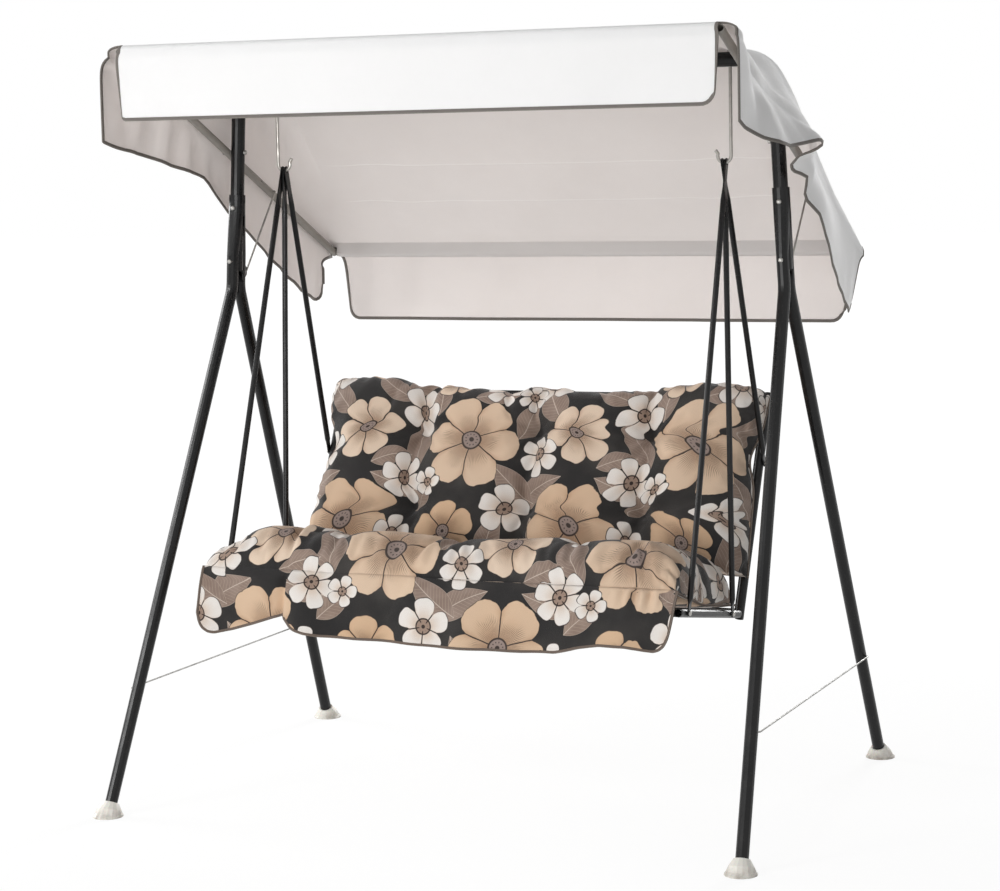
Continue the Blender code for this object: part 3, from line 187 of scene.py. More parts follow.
def tube_along(path: Points, radii: Points, sides: int, up: Points) -> tuple[Points, list]:
    """A round section carried along a path: centre + radius times (across cos + over sin) at each turn.

    Args:
        path: the centre line, one row a point.
        radii: the radius at each point of the path.
        sides: how many points the section has.
        up: a direction that the path never runs along.

    Returns:
        The points and the faces, with both ends closed.
    """
    along = unit(np.gradient(path, axis=0))
    across = unit(np.cross(along, up))
    over = np.cross(across, along)
    turn = np.linspace(0, 2 * pi, sides, endpoint=False)
    ring = across[:, None] * np.cos(turn)[None, :, None] + over[:, None] * np.sin(turn)[None, :, None]
    points = (path[:, None] + ring * np.asarray(radii)[:, None, None]).reshape(-1, 3)
    index = np.arange(len(points)).reshape(len(path), sides)
    faces = grid_faces(np.concatenate([index, index[:, :1]], axis=1)).tolist()
    faces += [index[0].tolist(), index[-1, ::-1].tolist()]
    return points, faces


# Shader wiring


@dataclass(frozen=True)
class Wire:
    """An output in a node tree that plain arithmetic can be done on."""

    tree: "Tree"
    socket: bpy.types.NodeSocket

    def __add__(self, other: "Wire | float") -> "Wire":
        """The sum, as a Math node."""
        return self.tree.math("ADD", self, other)

    def __sub__(self, other: "Wire | float") -> "Wire":
        """The difference, as a Math node."""
        return self.tree.math("SUBTRACT", self, other)

    def __rsub__(self, other: float) -> "Wire":
        """A number less this, as a Math node."""
        return self.tree.math("SUBTRACT", other, self)

    def __mul__(self, other: "Wire | float") -> "Wire":
        """The product, as a Math node."""
        return self.tree.math("MULTIPLY", self, other)

    def __truediv__(self, other: "Wire | float") -> "Wire":
        """The quotient, as a Math node."""
        return self.tree.math("DIVIDE", self, other)

    def __rtruediv__(self, other: float) -> "Wire":
        """A number over this, as a Math node."""
        return self.tree.math("DIVIDE", other, self)

    def __pow__(self, other: "Wire | float") -> "Wire":
        """The power, as a Math node."""
        return self.tree.math("POWER", self, other)


class Tree:
    """A node tree filled by plain calls."""

    def __init__(self, nodes: bpy.types.NodeTree) -> None:
        """Keeps the tree that the calls fill."""
        self.nodes = nodes

    def add(self, kind: str, inputs: dict | None = None, **settings: object) -> bpy.types.Node:
        """Adds a node.

        Args:
            kind: the node's type.
            inputs: a value or a wire for each named or numbered input.
            settings: the node's own properties.

        Returns:
            The new node.
        """
        node = self.nodes.nodes.new(kind)
        for name, value in settings.items():
            setattr(node, name, value)
        for name, value in (inputs or {}).items():
            self.feed(node.inputs[name], value)
        return node

    def feed(self, socket: bpy.types.NodeSocket, value: object) -> None:
        """Links a wire to an input, or sets the input's own value.

        Args:
            socket: the input.
            value: a wire, or a number, vector or colour.
        """
        if isinstance(value, Wire):
            self.nodes.links.new(value.socket, socket)
        else:
            socket.default_value = value

    def math(self, operation: str, *values: object) -> Wire:
        """A Math node's result."""
        node = self.add("ShaderNodeMath", dict(enumerate(values)), operation=operation)
        return Wire(self, node.outputs[0])

    def vector(self, operation: str, *values: object) -> Wire:
        """A Vector Math node's result."""
        node = self.add("ShaderNodeVectorMath", dict(enumerate(values)), operation=operation)
        return Wire(self, node.outputs["Value" if operation in ("LENGTH", "DOT_PRODUCT") else "Vector"])

    def scaled(self, point: Wire, factor: float | Wire) -> Wire:
        """A vector times a number."""
        node = self.add("ShaderNodeVectorMath", {0: point, "Scale": factor}, operation="SCALE")
        return Wire(self, node.outputs[0])

    def split(self, point: Wire) -> tuple[Wire, Wire, Wire]:
        """The x, y and z of a vector."""
        node = self.add("ShaderNodeSeparateXYZ", {0: point})
        return tuple(Wire(self, socket) for socket in node.outputs)

    def ramp(self, value: Wire, low: float | Wire, high: float | Wire) -> Wire:
        """0 under low, 1 over high and smooth in between."""
        node = self.add("ShaderNodeMapRange", {0: value, 1: low, 2: high}, interpolation_type="SMOOTHSTEP")
        return Wire(self, node.outputs[0])

    def noise(self, point: Wire, scale: float | Wire, detail: float = 3.0, rough: float = 0.5) -> Wire:
        """A cloudy value from 0 to 1."""
        inputs = {"Vector": point, "Scale": scale, "Detail": detail, "Roughness": rough}
        return Wire(self, self.add("ShaderNodeTexNoise", inputs).outputs[0])

    def mix(self, share: float | Wire, first: object, second: object, blend: str = "MIX") -> Wire:
        """A colour between two."""
        node = self.add("ShaderNodeMix", {0: share, 6: first, 7: second}, data_type="RGBA", blend_type=blend)
        return Wire(self, node.outputs[2])

    def bump(self, height: Wire, distance: float, strength: float = 1.0, below: Wire | None = None) -> Wire:
        """A normal from a height in metres of distance.

        Args:
            height: the height, from 0 to 1.
            distance: what a height of 1 stands for, in metres.
            strength: how much of it shows.
            below: the normal that it lies on, if not the surface's own.

        Returns:
            The normal.
        """
        inputs = {"Height": height, "Distance": distance, "Strength": strength}
        if below is not None:
            inputs["Normal"] = below
        return Wire(self, self.add("ShaderNodeBump", inputs).outputs[0])

    def place(self) -> Wire:
        """The Object coordinates, in metres of the frame."""
        return Wire(self, self.add("ShaderNodeTexCoord").outputs["Object"])

    def cloth_place(self) -> Wire:
        """The piece's own map, in metres along the cloth."""
        return Wire(self, self.add("ShaderNodeUVMap", uv_map="cloth").outputs[0])

    def group(self, nodes: bpy.types.NodeTree, **inputs: object) -> dict[str, Wire]:
        """Places a group.

        Args:
            nodes: the group's tree.
            inputs: a value or a wire for each named input, with _ for a space.

        Returns:
            The group's outputs by name.
        """
        node = self.add("ShaderNodeGroup", node_tree=nodes)
        for name, value in inputs.items():
            self.feed(node.inputs[name.replace("_", " ")], value)
        return {socket.name: Wire(self, socket) for socket in node.outputs}


class Effect:
    """A node group with named inputs and outputs."""

    def __init__(self, name: str, inputs: dict[str, str], outputs: dict[str, str]) -> None:
        """Makes the group and its sockets.

        Args:
            name: the group's name.
            inputs: each input's name and socket type.
            outputs: each output's name and socket type.
        """
        self.nodes = bpy.data.node_groups.new(name, "ShaderNodeTree")
        for label, kind in inputs.items():
            self.nodes.interface.new_socket(label, in_out="INPUT", socket_type=kind)
        for label, kind in outputs.items():
            self.nodes.interface.new_socket(label, in_out="OUTPUT", socket_type=kind)
        self.tree = Tree(self.nodes)
        entry = self.tree.add("NodeGroupInput")
        self.entry = {socket.name: Wire(self.tree, socket) for socket in entry.outputs if socket.name}
        self.leave = self.tree.add("NodeGroupOutput")

    def put(self, name: str, value: Wire) -> None:
        """Links a wire to one of the group's outputs."""
        self.tree.feed(self.leave.inputs[name], value)


NUMBER, VECTOR, TINT = "NodeSocketFloat", "NodeSocketVector", "NodeSocketColor"


class Effects:
    """The node groups that more than one material uses, each built once."""

    def __init__(self) -> None:
        """Builds every shared group."""
        self.weave = self.make_weave()
        self.mottle = self.make_mottle()
        self.scuffs = self.make_scuffs()
        self.blossom = self.make_blossom()
        self.leaf = self.make_leaf()
        self.print = self.make_print()

    def make_weave(self) -> bpy.types.NodeTree:
        """Threads over and under each other: the higher of two rows of round ridges, by turns.

        Returns:
            The group, which puts out a height.
        """
        effect = Effect("weave", {"Point": VECTOR, "Threads": NUMBER}, {"Height": NUMBER})
        tree = effect.tree
        u, v, _ = tree.split(tree.scaled(effect.entry["Point"], effect.entry["Threads"]))
        warp, weft = tree.math("SINE", u * pi), tree.math("SINE", v * pi)
        over = tree.ramp(warp * weft, -0.12, 0.12)
        ridge = tree.math("ABSOLUTE", warp) * over + tree.math("ABSOLUTE", weft) * (1.0 - over)
        effect.put("Height", ridge)
        return effect.nodes

    def make_mottle(self) -> bpy.types.NodeTree:
        """Soft blotches with finer specks in them, for dust and for uneven colour.

        Returns:
            The group, which puts out both masks.
        """
        effect = Effect("mottle", {"Point": VECTOR, "Scale": NUMBER}, {"Blotch": NUMBER, "Speck": NUMBER})
        tree, point, scale = effect.tree, effect.entry["Point"], effect.entry["Scale"]
        effect.put("Blotch", tree.ramp(tree.noise(point, scale, 4.0, 0.6), 0.35, 0.7))
        effect.put("Speck", tree.ramp(tree.noise(point, scale * 17.0, 2.0, 0.7), 0.6, 0.72))
        return effect.nodes

    def make_scuffs(self) -> bpy.types.NodeTree:
        """Fine long scratches and small chips, from two stretched clouds that meet.

        Returns:
            The group, which puts out both masks.
        """
        effect = Effect("scuffs", {"Point": VECTOR, "Scale": NUMBER}, {"Scratch": NUMBER, "Chip": NUMBER})
        tree, point, scale = effect.tree, effect.entry["Point"], effect.entry["Scale"]
        long = tree.vector("MULTIPLY", point, (9.0, 9.0, 0.7))
        line = tree.math("ABSOLUTE", tree.noise(long, scale, 2.0, 0.6) - 0.5)
        patch = tree.ramp(tree.noise(point, scale * 0.35, 2.0), 0.5, 0.65)
        effect.put("Scratch", (1.0 - tree.ramp(line, 0.0, 0.012)) * patch)
        effect.put("Chip", tree.ramp(tree.noise(point, scale * 6.0, 4.0, 0.75), 0.71, 0.75) * patch)
        return effect.nodes

    def near(self, effect: Effect) -> Wire:
        """The way from a motif's centre to the point, to the nearest of its repeats on the cloth.

        Args:
            effect: the motif's group, with its Point and Centre.

        Returns:
            The way, as a vector.
        """
        away = effect.tree.vector("SUBTRACT", effect.entry["Point"], effect.entry["Centre"])
        half = tuple(size / 2 for size in PRINT_TILE)
        return effect.tree.vector("WRAP", away, half, tuple(-size for size in half))

    def make_blossom(self) -> bpy.types.NodeTree:
        """A round flower: its edge swings in between petals, with ink lines, strokes and a heart.

        Returns:
            The group, which puts out a colour and a mask.
        """
        numbers = dict.fromkeys(("Cloud", "Radius", "Turn", "Petals", "Notch", "Stroke", "Core"), NUMBER)
        tints = dict.fromkeys(("Petal", "Deep", "Heart", "Ink"), TINT)
        effect = Effect(
            "blossom",
            {"Point": VECTOR, "Centre": VECTOR, **numbers, **tints},
            {"Color": TINT, "Mask": NUMBER},
        )
        tree, entry = effect.tree, effect.entry
        away = self.near(effect)
        x, y, _ = tree.split(away)
        cloud = entry["Cloud"]
        radius = entry["Radius"]
        reach = tree.vector("LENGTH", away) * (cloud * 0.16 + 0.92)
        turn = tree.math("ARCTAN2", y, x) + entry["Turn"] + cloud * 0.10
        lobe = tree.math("ABSOLUTE", tree.math("COSINE", turn * entry["Petals"] * 0.5))
        edge = radius * (1.0 - entry["Notch"] * (1.0 - lobe) ** 2.2)
        share = reach / edge
        mask = 1.0 - tree.ramp(share, 0.985, 1.0)
        line = 0.0026 / radius
        rim = tree.ramp(share, 1.0 - line * 1.3, 1.0 - line * 0.6)
        cleft = 1.0 - tree.ramp(reach * lobe * 2.0 / entry["Petals"], 0.0010, 0.0020)
        ink = tree.math("MAXIMUM", rim, cleft * tree.ramp(share, 0.2, 0.3))
        fine = tree.math("COSINE", turn * 96.0 + cloud * 9.0)
        strokes = tree.ramp(fine, 0.2, 0.9) * (1.0 - tree.ramp(share + cloud * 0.6, 0.60, 1.0))
        strokes = strokes * entry["Stroke"]
        deepness = tree.math("MAXIMUM", 1.0 - tree.ramp(share, 0.1, 0.85), (1.0 - lobe) ** 3.0)
        colour = tree.mix(deepness * (cloud * 0.6 + 0.35), entry["Petal"], entry["Deep"])
        colour = tree.mix(strokes, colour, entry["Ink"])
        core = reach / (radius * entry["Core"])
        colour = tree.mix(1.0 - tree.ramp(core, 1.08, 1.16), colour, entry["Ink"])
        colour = tree.mix(1.0 - tree.ramp(core, 0.88, 0.96), colour, entry["Heart"])
        ring = 1.0 - tree.ramp(tree.math("ABSOLUTE", core - 0.62), 0.05, 0.11)
        seeds = tree.ramp(tree.math("COSINE", turn * 11.0), 0.2, 0.7) * ring
        colour = tree.mix(seeds * entry["Stroke"], colour, entry["Ink"])
        colour = tree.mix(1.0 - tree.ramp(core, 0.22, 0.30), colour, entry["Ink"])
        effect.put("Color", tree.mix(ink, colour, entry["Ink"]))
        effect.put("Mask", mask)
        return effect.nodes

    def make_leaf(self) -> bpy.types.NodeTree:
        """A pointed oval leaf: half width times (1 - t squared), with a pale midrib and side veins.

        Returns:
            The group, which puts out a colour and a mask.
        """
        numbers = dict.fromkeys(("Cloud", "Length", "Width", "Turn"), NUMBER)
        tints = dict.fromkeys(("Blade", "Vein"), TINT)
        effect = Effect(
            "leaf",
            {"Point": VECTOR, "Centre": VECTOR, **numbers, **tints},
            {"Color": TINT, "Mask": NUMBER},
        )
        tree, entry = effect.tree, effect.entry
        x, y, _ = tree.split(self.near(effect))
        turn_cos, turn_sin = tree.math("COSINE", entry["Turn"]), tree.math("SINE", entry["Turn"])
        along, beside = x * turn_cos + y * turn_sin, y * turn_cos - x * turn_sin
        share = along / (entry["Length"] * 0.5)
        beside = tree.math("ABSOLUTE", beside + (share * share - 0.4) * entry["Width"] * 0.10)
        half = (1.0 - share * share) * (1.0 - share * 0.35) * entry["Width"] * 0.5
        inside = half - beside
        rib = 1.0 - tree.ramp(beside, 0.0005, 0.0013)
        side_vein = tree.math("ABSOLUTE", tree.math("SINE", (along - beside * 0.9) * 300.0))
        side_vein = (1.0 - tree.ramp(side_vein, 0.05, 0.16)) * tree.ramp(inside, 0.002, 0.004)
        colour = tree.mix(tree.ramp(entry["Cloud"], 0.3, 0.7) * 0.5, entry["Blade"], shade(120, 98, 84))
        pale = tree.math("MAXIMUM", rib, side_vein * 0.55)
        pale = tree.math("MAXIMUM", pale, (1.0 - tree.ramp(inside, 0.0008, 0.0016)) * 0.6)
        effect.put("Color", tree.mix(pale, colour, entry["Vein"]))
        effect.put("Mask", tree.ramp(inside, 0.0, 0.0007) * tree.ramp(1.0 - share * share, 0.0, 0.01))
        return effect.nodes

    def make_print(self) -> bpy.types.NodeTree:
        """The cushions' print: leaves, then tan blossoms, then white flowers, on black.

        Each motif lies a hair further along than the one under it, so they are worked out one after another.

        Returns:
            The group, which puts out a colour.
        """
        effect = Effect("garden_print", {"Point": VECTOR}, {"Color": TINT})
        tree, point = effect.tree, effect.entry["Point"]
        cloud = tree.noise(point, 26.0, 2.0)
        ground = tree.mix(cloud, shade(10, 9, 9), shade(24, 21, 21))
        ink, vein = shade(44, 30, 25), shade(206, 190, 176)
        for x, y, length, width, turn, light in PRINT_LEAVES:
            part = tree.group(
                self.leaf, Point=point, Cloud=cloud, Centre=(x, y, 0.0), Length=length, Width=width,
                Turn=turn, Blade=between(shade(152, 132, 120), shade(172, 150, 134), light), Vein=vein,
            )
            ground = tree.mix(part["Mask"], ground, part["Color"])
            point = tree.vector("MULTIPLY_ADD", part["Mask"], MOTIF_STEP, point)
        for x, y, radius, turn, petals, light in PRINT_BLOSSOMS:
            part = tree.group(
                self.blossom, Point=point, Cloud=cloud, Centre=(x, y, 0.0), Radius=radius, Turn=turn,
                Petals=petals, Notch=0.30, Stroke=0.85, Core=0.19,
                Petal=between(shade(218, 184, 150), shade(234, 211, 188), light),
                Deep=shade(176, 136, 104), Heart=shade(150, 132, 124), Ink=ink,
            )
            ground = tree.mix(part["Mask"], ground, part["Color"])
            point = tree.vector("MULTIPLY_ADD", part["Mask"], MOTIF_STEP, point)
        for x, y, radius, turn, petals in PRINT_FLOWERS:
            part = tree.group(
                self.blossom, Point=point, Cloud=cloud, Centre=(x, y, 0.0), Radius=radius, Turn=turn,
                Petals=petals, Notch=0.50, Stroke=0.22, Core=0.27, Petal=shade(240, 234, 228),
                Deep=shade(222, 192, 164), Heart=shade(160, 136, 120), Ink=ink,
            )
            ground = tree.mix(part["Mask"], ground, part["Color"])
            point = tree.vector("MULTIPLY_ADD", part["Mask"], MOTIF_STEP, point)
        effect.put("Color", ground)
        return effect.nodes


# The piece of cloth that the print repeats on, and the hair that each motif lies further along
PRINT_TILE = (0.64, 0.52, 1.0)
MOTIF_STEP = (1e-6, 1e-6, 0.0)
# Centre, length, width, turn and lightness of each leaf
PRINT_LEAVES = (
    (0.305, 0.375, 0.170, 0.074, 1.9, 0.0), (0.035, 0.245, 0.150, 0.068, 0.5, 0.1),
    (0.600, 0.255, 0.160, 0.070, 2.5, 0.0), (0.290, 0.040, 0.160, 0.068, 1.1, 0.2),
    (0.530, 0.510, 0.150, 0.066, 0.2, 0.0), (0.255, 0.255, 0.140, 0.060, 2.9, 0.3),
    (0.050, 0.490, 0.150, 0.068, 2.2, 0.0), (0.350, 0.225, 0.120, 0.056, 0.7, 0.4),
    (0.555, 0.105, 0.150, 0.064, 1.3, 0.0), (0.205, 0.510, 0.130, 0.058, 2.7, 0.1),
    (0.240, 0.320, 0.110, 0.050, 0.3, 0.2), (0.620, 0.440, 0.130, 0.060, 1.2, 0.3),
    (0.370, 0.500, 0.120, 0.052, 1.5, 0.0), (0.045, 0.120, 0.110, 0.050, 2.1, 0.2),
)
# Centre, radius, turn, petals and lightness of each large blossom
PRINT_BLOSSOMS = (
    (0.385, 0.030, 0.056, 0.5, 5.0, 0.9), (0.140, 0.145, 0.122, 0.3, 5.0, 0.25),
    (0.475, 0.365, 0.128, 1.1, 6.0, 0.55), (0.435, 0.120, 0.082, 2.0, 5.0, 0.0),
    (0.145, 0.395, 0.088, 0.8, 6.0, 1.0),
)
# Centre, radius, turn and petals of each white flower
PRINT_FLOWERS = (
    (0.285, 0.270, 0.066, 0.2, 6.0), (0.585, 0.185, 0.068, 0.9, 5.0), (0.028, 0.335, 0.060, 0.5, 6.0),
    (0.298, 0.462, 0.068, 1.4, 5.0), (0.535, 0.015, 0.062, 0.1, 6.0), (0.280, 0.115, 0.050, 2.2, 5.0),
    (0.025, 0.035, 0.066, 1.9, 5.0), (0.365, 0.255, 0.040, 1.2, 5.0), (0.620, 0.505, 0.042, 0.4, 6.0),
)


# Finishes


@dataclass(frozen=True)
class Finish:
    """A surface finish. Each kind wires its own colour, roughness and bump."""

    name: str
    colour: Colour
    roughness: float

    def start(self) -> tuple[bpy.types.Material, Tree, bpy.types.Node]:
        """An empty material with its shader.

        Returns:
            The material, its tree and its Principled shader.
        """
        made = bpy.data.materials.new(self.name)
        made.use_nodes = True
        made.node_tree.nodes.clear()
        tree = Tree(made.node_tree)
        plain = {"Base Color": self.colour, "Roughness": self.roughness}
        shader = tree.add("ShaderNodeBsdfPrincipled", plain)
        tree.add("ShaderNodeOutputMaterial", {0: Wire(tree, shader.outputs[0])})
        made.diffuse_color = self.colour
        return made, tree, shader


@dataclass(frozen=True)
class Paint(Finish):
    """Sprayed enamel on steel tube: faint orange peel, fine scratches, a little dust."""

    coat: float = 0.0
    peel: float = 0.00008

    def make(self, effects: Effects) -> bpy.types.Material:
        """Builds the paint.

        Args:
            effects: the shared node groups.

        Returns:
            The material.
        """
        made, tree, shader = self.start()
        point = tree.place()
        mottle = tree.group(effects.mottle, Point=point, Scale=9.0)
        scuffs = tree.group(effects.scuffs, Point=point, Scale=55.0)
        worn = tuple(min(1.0, part * 1.5 + 0.004) for part in self.colour[:3]) + (1.0,)
        tint = tree.mix(mottle["Blotch"] * 0.5, self.colour, worn)
        tint = tree.mix(mottle["Speck"] * 0.06 + scuffs["Scratch"] * 0.16, tint, shade(120, 116, 110))
        tree.feed(shader.inputs["Base Color"], tint)
        worn_rough = mottle["Blotch"] * 0.10 + scuffs["Scratch"] * 0.2 + self.roughness
        tree.feed(shader.inputs["Roughness"], worn_rough)
        height = tree.noise(point, 420.0, 2.0) - scuffs["Chip"] * 0.8
        tree.feed(shader.inputs["Normal"], tree.bump(height, self.peel, 0.6))
        shader.inputs["Specular IOR Level"].default_value = 0.28
        shader.inputs["Coat Weight"].default_value = self.coat
        shader.inputs["Coat Roughness"].default_value = 0.08
        return made


@dataclass(frozen=True)
class Steel(Finish):
    """Bare or plated steel rod: drawn along its length, dull spots on it."""

    spangle: float = 0.0

    def make(self, effects: Effects) -> bpy.types.Material:
        """Builds the metal.

        Args:
            effects: the shared node groups.

        Returns:
            The material.
        """
        made, tree, shader = self.start()
        point = tree.place()
        mottle = tree.group(effects.mottle, Point=point, Scale=60.0)
        scuffs = tree.group(effects.scuffs, Point=point, Scale=90.0)
        dull = tuple(part * 0.55 for part in self.colour[:3]) + (1.0,)
        tint = tree.mix(mottle["Blotch"] * (0.20 + self.spangle), self.colour, dull)
        tint = tree.mix(mottle["Speck"] * 0.15, tint, shade(92, 84, 76))
        tree.feed(shader.inputs["Base Color"], tint)
        worn_rough = mottle["Blotch"] * 0.18 + scuffs["Scratch"] * 0.2 + self.roughness
        tree.feed(shader.inputs["Roughness"], worn_rough)
        tree.feed(shader.inputs["Metallic"], 1.0 - mottle["Speck"] * 0.4)
        drawn = tree.noise(tree.vector("MULTIPLY", point, (1.0, 1.0, 0.06)), 900.0, 2.0)
        tree.feed(shader.inputs["Normal"], tree.bump(drawn - scuffs["Scratch"], 0.00003, 0.15))
        return made


@dataclass(frozen=True)
class Plastic(Finish):
    """Moulded plastic: a fine pebble, and floor dirt that fades upwards."""

    dirt_height: float = 0.030

    def make(self, effects: Effects) -> bpy.types.Material:
        """Builds the plastic.

        Args:
            effects: the shared node groups.

        Returns:
            The material.
        """
        made, tree, shader = self.start()
        point = tree.place()
        _, _, height = tree.split(point)
        mottle = tree.group(effects.mottle, Point=point, Scale=35.0)
        low = 1.0 - tree.ramp(height, 0.0, self.dirt_height)
        tint = tree.mix(low * (mottle["Blotch"] * 0.55 + 0.12), self.colour, shade(138, 128, 116))
        tint = tree.mix(mottle["Speck"] * 0.2, tint, shade(150, 142, 130))
        tree.feed(shader.inputs["Base Color"], tint)
        tree.feed(shader.inputs["Roughness"], mottle["Blotch"] * 0.15 + self.roughness)
        tree.feed(shader.inputs["Normal"], tree.bump(tree.noise(point, 1500.0, 1.0), 0.00006, 0.6))
        shader.inputs["Subsurface Weight"].default_value = 0.05
        return made


@dataclass(frozen=True)
class Canvas(Finish):
    """Plain proofed canvas: a tight weave with painted shade between its threads, faint creases and uneven
    tone.
    """

    threads: float = 1500.0
    tone: float = 0.05
    seams: tuple[float, ...] = ()

    def make(self, effects: Effects) -> bpy.types.Material:
        """Builds the cloth.

        Args:
            effects: the shared node groups.

        Returns:
            The material.
        """
        made, tree, shader = self.start()
        cloth = tree.cloth_place()
        weave = tree.group(effects.weave, Point=cloth, Threads=self.threads)
        mottle = tree.group(effects.mottle, Point=cloth, Scale=3.0)
        darker = tuple(part * (1.0 - self.tone * 2) for part in self.colour[:3]) + (1.0,)
        tint = tree.mix(mottle["Blotch"] * 0.6, self.colour, darker)
        # Painted shade: the cloth is greyer where the weave is low, between the threads.
        tint = tree.mix((1.0 - weave["Height"]) * 0.08, tint, shade(172, 170, 168))
        height = tree.noise(cloth, 7.0, 5.0, 0.62)
        across, along, _ = tree.split(cloth)
        for place in self.seams:
            line = 1.0 - tree.ramp(tree.math("ABSOLUTE", along - place), 0.0012, 0.0035)
            line = line * (1.0 - tree.ramp(tree.math("ABSOLUTE", across), 0.58, 0.64))
            tint = tree.mix(line * 0.40, tint, shade(252, 248, 245))
            height = height + line * 0.5
        tree.feed(shader.inputs["Base Color"], tint)
        tree.feed(shader.inputs["Roughness"], weave["Height"] * 0.1 + self.roughness)
        base = tree.bump(height, 0.0035, 0.35)
        tree.feed(shader.inputs["Normal"], tree.bump(weave["Height"], 0.00018, 0.5, base))
        shader.inputs["Sheen Weight"].default_value = 0.08
        shader.inputs["Subsurface Weight"].default_value = 0.6
        shader.inputs["Subsurface Radius"].default_value = (1.0, 1.0, 1.0)
        shader.inputs["Subsurface Scale"].default_value = 0.003
        return made


@dataclass(frozen=True)
class PrintedCloth(Finish):
    """Cotton with the garden print: soft weave with painted shade between its threads, small creases."""

    threads: float = 1100.0

    def make(self, effects: Effects) -> bpy.types.Material:
        """Builds the printed cloth.

        Args:
            effects: the shared node groups.

        Returns:
            The material.
        """
        made, tree, shader = self.start()
        cloth = tree.cloth_place()
        weave = tree.group(effects.weave, Point=cloth, Threads=self.threads)
        print_colour = tree.group(effects.print, Point=cloth)["Color"]
        # Painted shade: the print is darker where the weave is low, between the threads.
        tint = tree.mix((1.0 - weave["Height"]) * 0.22, print_colour, shade(40, 34, 32))
        faded = tree.noise(cloth, 5.0, 3.0)
        tint = tree.mix(tree.ramp(faded, 0.4, 0.8) * 0.07, tint, shade(206, 196, 186))
        tree.feed(shader.inputs["Base Color"], tint)
        tree.feed(shader.inputs["Roughness"], weave["Height"] * 0.08 + self.roughness)
        creases = tree.noise(cloth, 24.0, 5.0, 0.6)
        base = tree.bump(creases, 0.003, 0.45)
        tree.feed(shader.inputs["Normal"], tree.bump(weave["Height"], 0.00025, 0.6, base))
        shader.inputs["Sheen Weight"].default_value = 0.12
        shader.inputs["Sheen Roughness"].default_value = 0.5
        return made


@dataclass(frozen=True)
class Tape(Finish):
    """Folded binding tape: ribs across it and one row of stitches near its inner edge."""

    stitch: float = 0.0035

    def make(self, effects: Effects) -> bpy.types.Material:
        """Builds the tape, whose map runs along it and then round it from 0 to 1.

        Args:
            effects: the shared node groups.

        Returns:
            The material.
        """
        made, tree, shader = self.start()
        along, around, _ = tree.split(tree.cloth_place())
        rib = tree.math("ABSOLUTE", tree.math("SINE", along * 2200.0))
        row = tree.math("ABSOLUTE", tree.math("ABSOLUTE", around - 0.5) - 0.36)
        dash = tree.ramp(tree.math("SINE", along * (2 * pi / self.stitch)), -0.3, 0.1)
        thread = (1.0 - tree.ramp(row, 0.02, 0.04)) * dash
        mottle = tree.group(effects.mottle, Point=tree.place(), Scale=25.0)
        tint = tree.mix(mottle["Blotch"] * 0.3, self.colour, shade(96, 90, 86))
        tint = tree.mix(thread * 0.7, tint, shade(176, 170, 162))
        tree.feed(shader.inputs["Base Color"], tint)
        tree.feed(shader.inputs["Roughness"], rib * 0.1 + self.roughness)
        tree.feed(shader.inputs["Normal"], tree.bump(rib * 0.3 + thread, 0.0003, 0.7))
        return made


class Look(Enum):
    """The finishes of the swing seat."""

    GLOSS_BLACK = Paint("gloss_black_paint", shade(11, 11, 12), 0.26, coat=0.0)
    SEAT_BLACK = Paint("seat_frame_paint", shade(14, 14, 15), 0.34, coat=0.0)
    SATIN_GREY = Paint("canopy_tube_paint", shade(142, 138, 132), 0.42, coat=0.1)
    WHITE_CUP = Plastic("foot_cup_plastic", shade(236, 232, 224), 0.42)
    BRIGHT_STEEL = Steel("bright_steel", shade(178, 175, 170), 0.32)
    TIE_STEEL = Steel("tie_rod_steel", shade(152, 151, 148), 0.50)
    ZINC_STEEL = Steel("zinc_steel", shade(172, 170, 166), 0.40, spangle=0.3)
    CANOPY_WHITE = Canvas("canopy_cloth_outside", shade(251, 251, 251), 0.80, tone=0.015)
    # The inside face is a darker, warmer copy of the outside cloth: painted shade for the canopy's underside,
    # the flaps' inner faces and the sleeves.
    CANOPY_INSIDE_SHADE = Canvas("canopy_cloth_inside_painted_shade", shade(236, 229, 226), 0.85, tone=0.03, seams=(0.919, 1.073))
    GREY_TAPE = Tape("grey_binding", shade(112, 107, 102), 0.78)
    PRINT = PrintedCloth("garden_print_cloth", shade(40, 34, 32), 0.82)
    BROWN_PIPING = Tape("brown_piping", shade(104, 90, 80), 0.80)


class Wardrobe:
    """Every finish as a material, made once."""

    def __init__(self) -> None:
        """Builds the shared effects and each finish with them."""
        effects = Effects()
        self.made = {look: look.value.make(effects) for look in Look}

    def wear(self, made: bpy.types.Object, *looks: Look) -> None:
        """Gives a piece its materials in order.

        Args:
            made: the piece.
            looks: its finishes, the first for its first slot.
        """
        made.data.materials.clear()
        for look in looks:
            made.data.materials.append(self.made[look])

    def dress(self, prefix: str, look: Look) -> None:
        """Gives a finish to each CAD node whose name starts with a prefix.

        Args:
            prefix: how the nodes' names start.
            look: the finish.
        """
        for name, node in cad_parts.items():
            if name.startswith(prefix):
                for slot in node.material_slots:
                    slot.material = self.made[look]
                log.info("%s wears %s", name, look.value.name)


# Soft goods


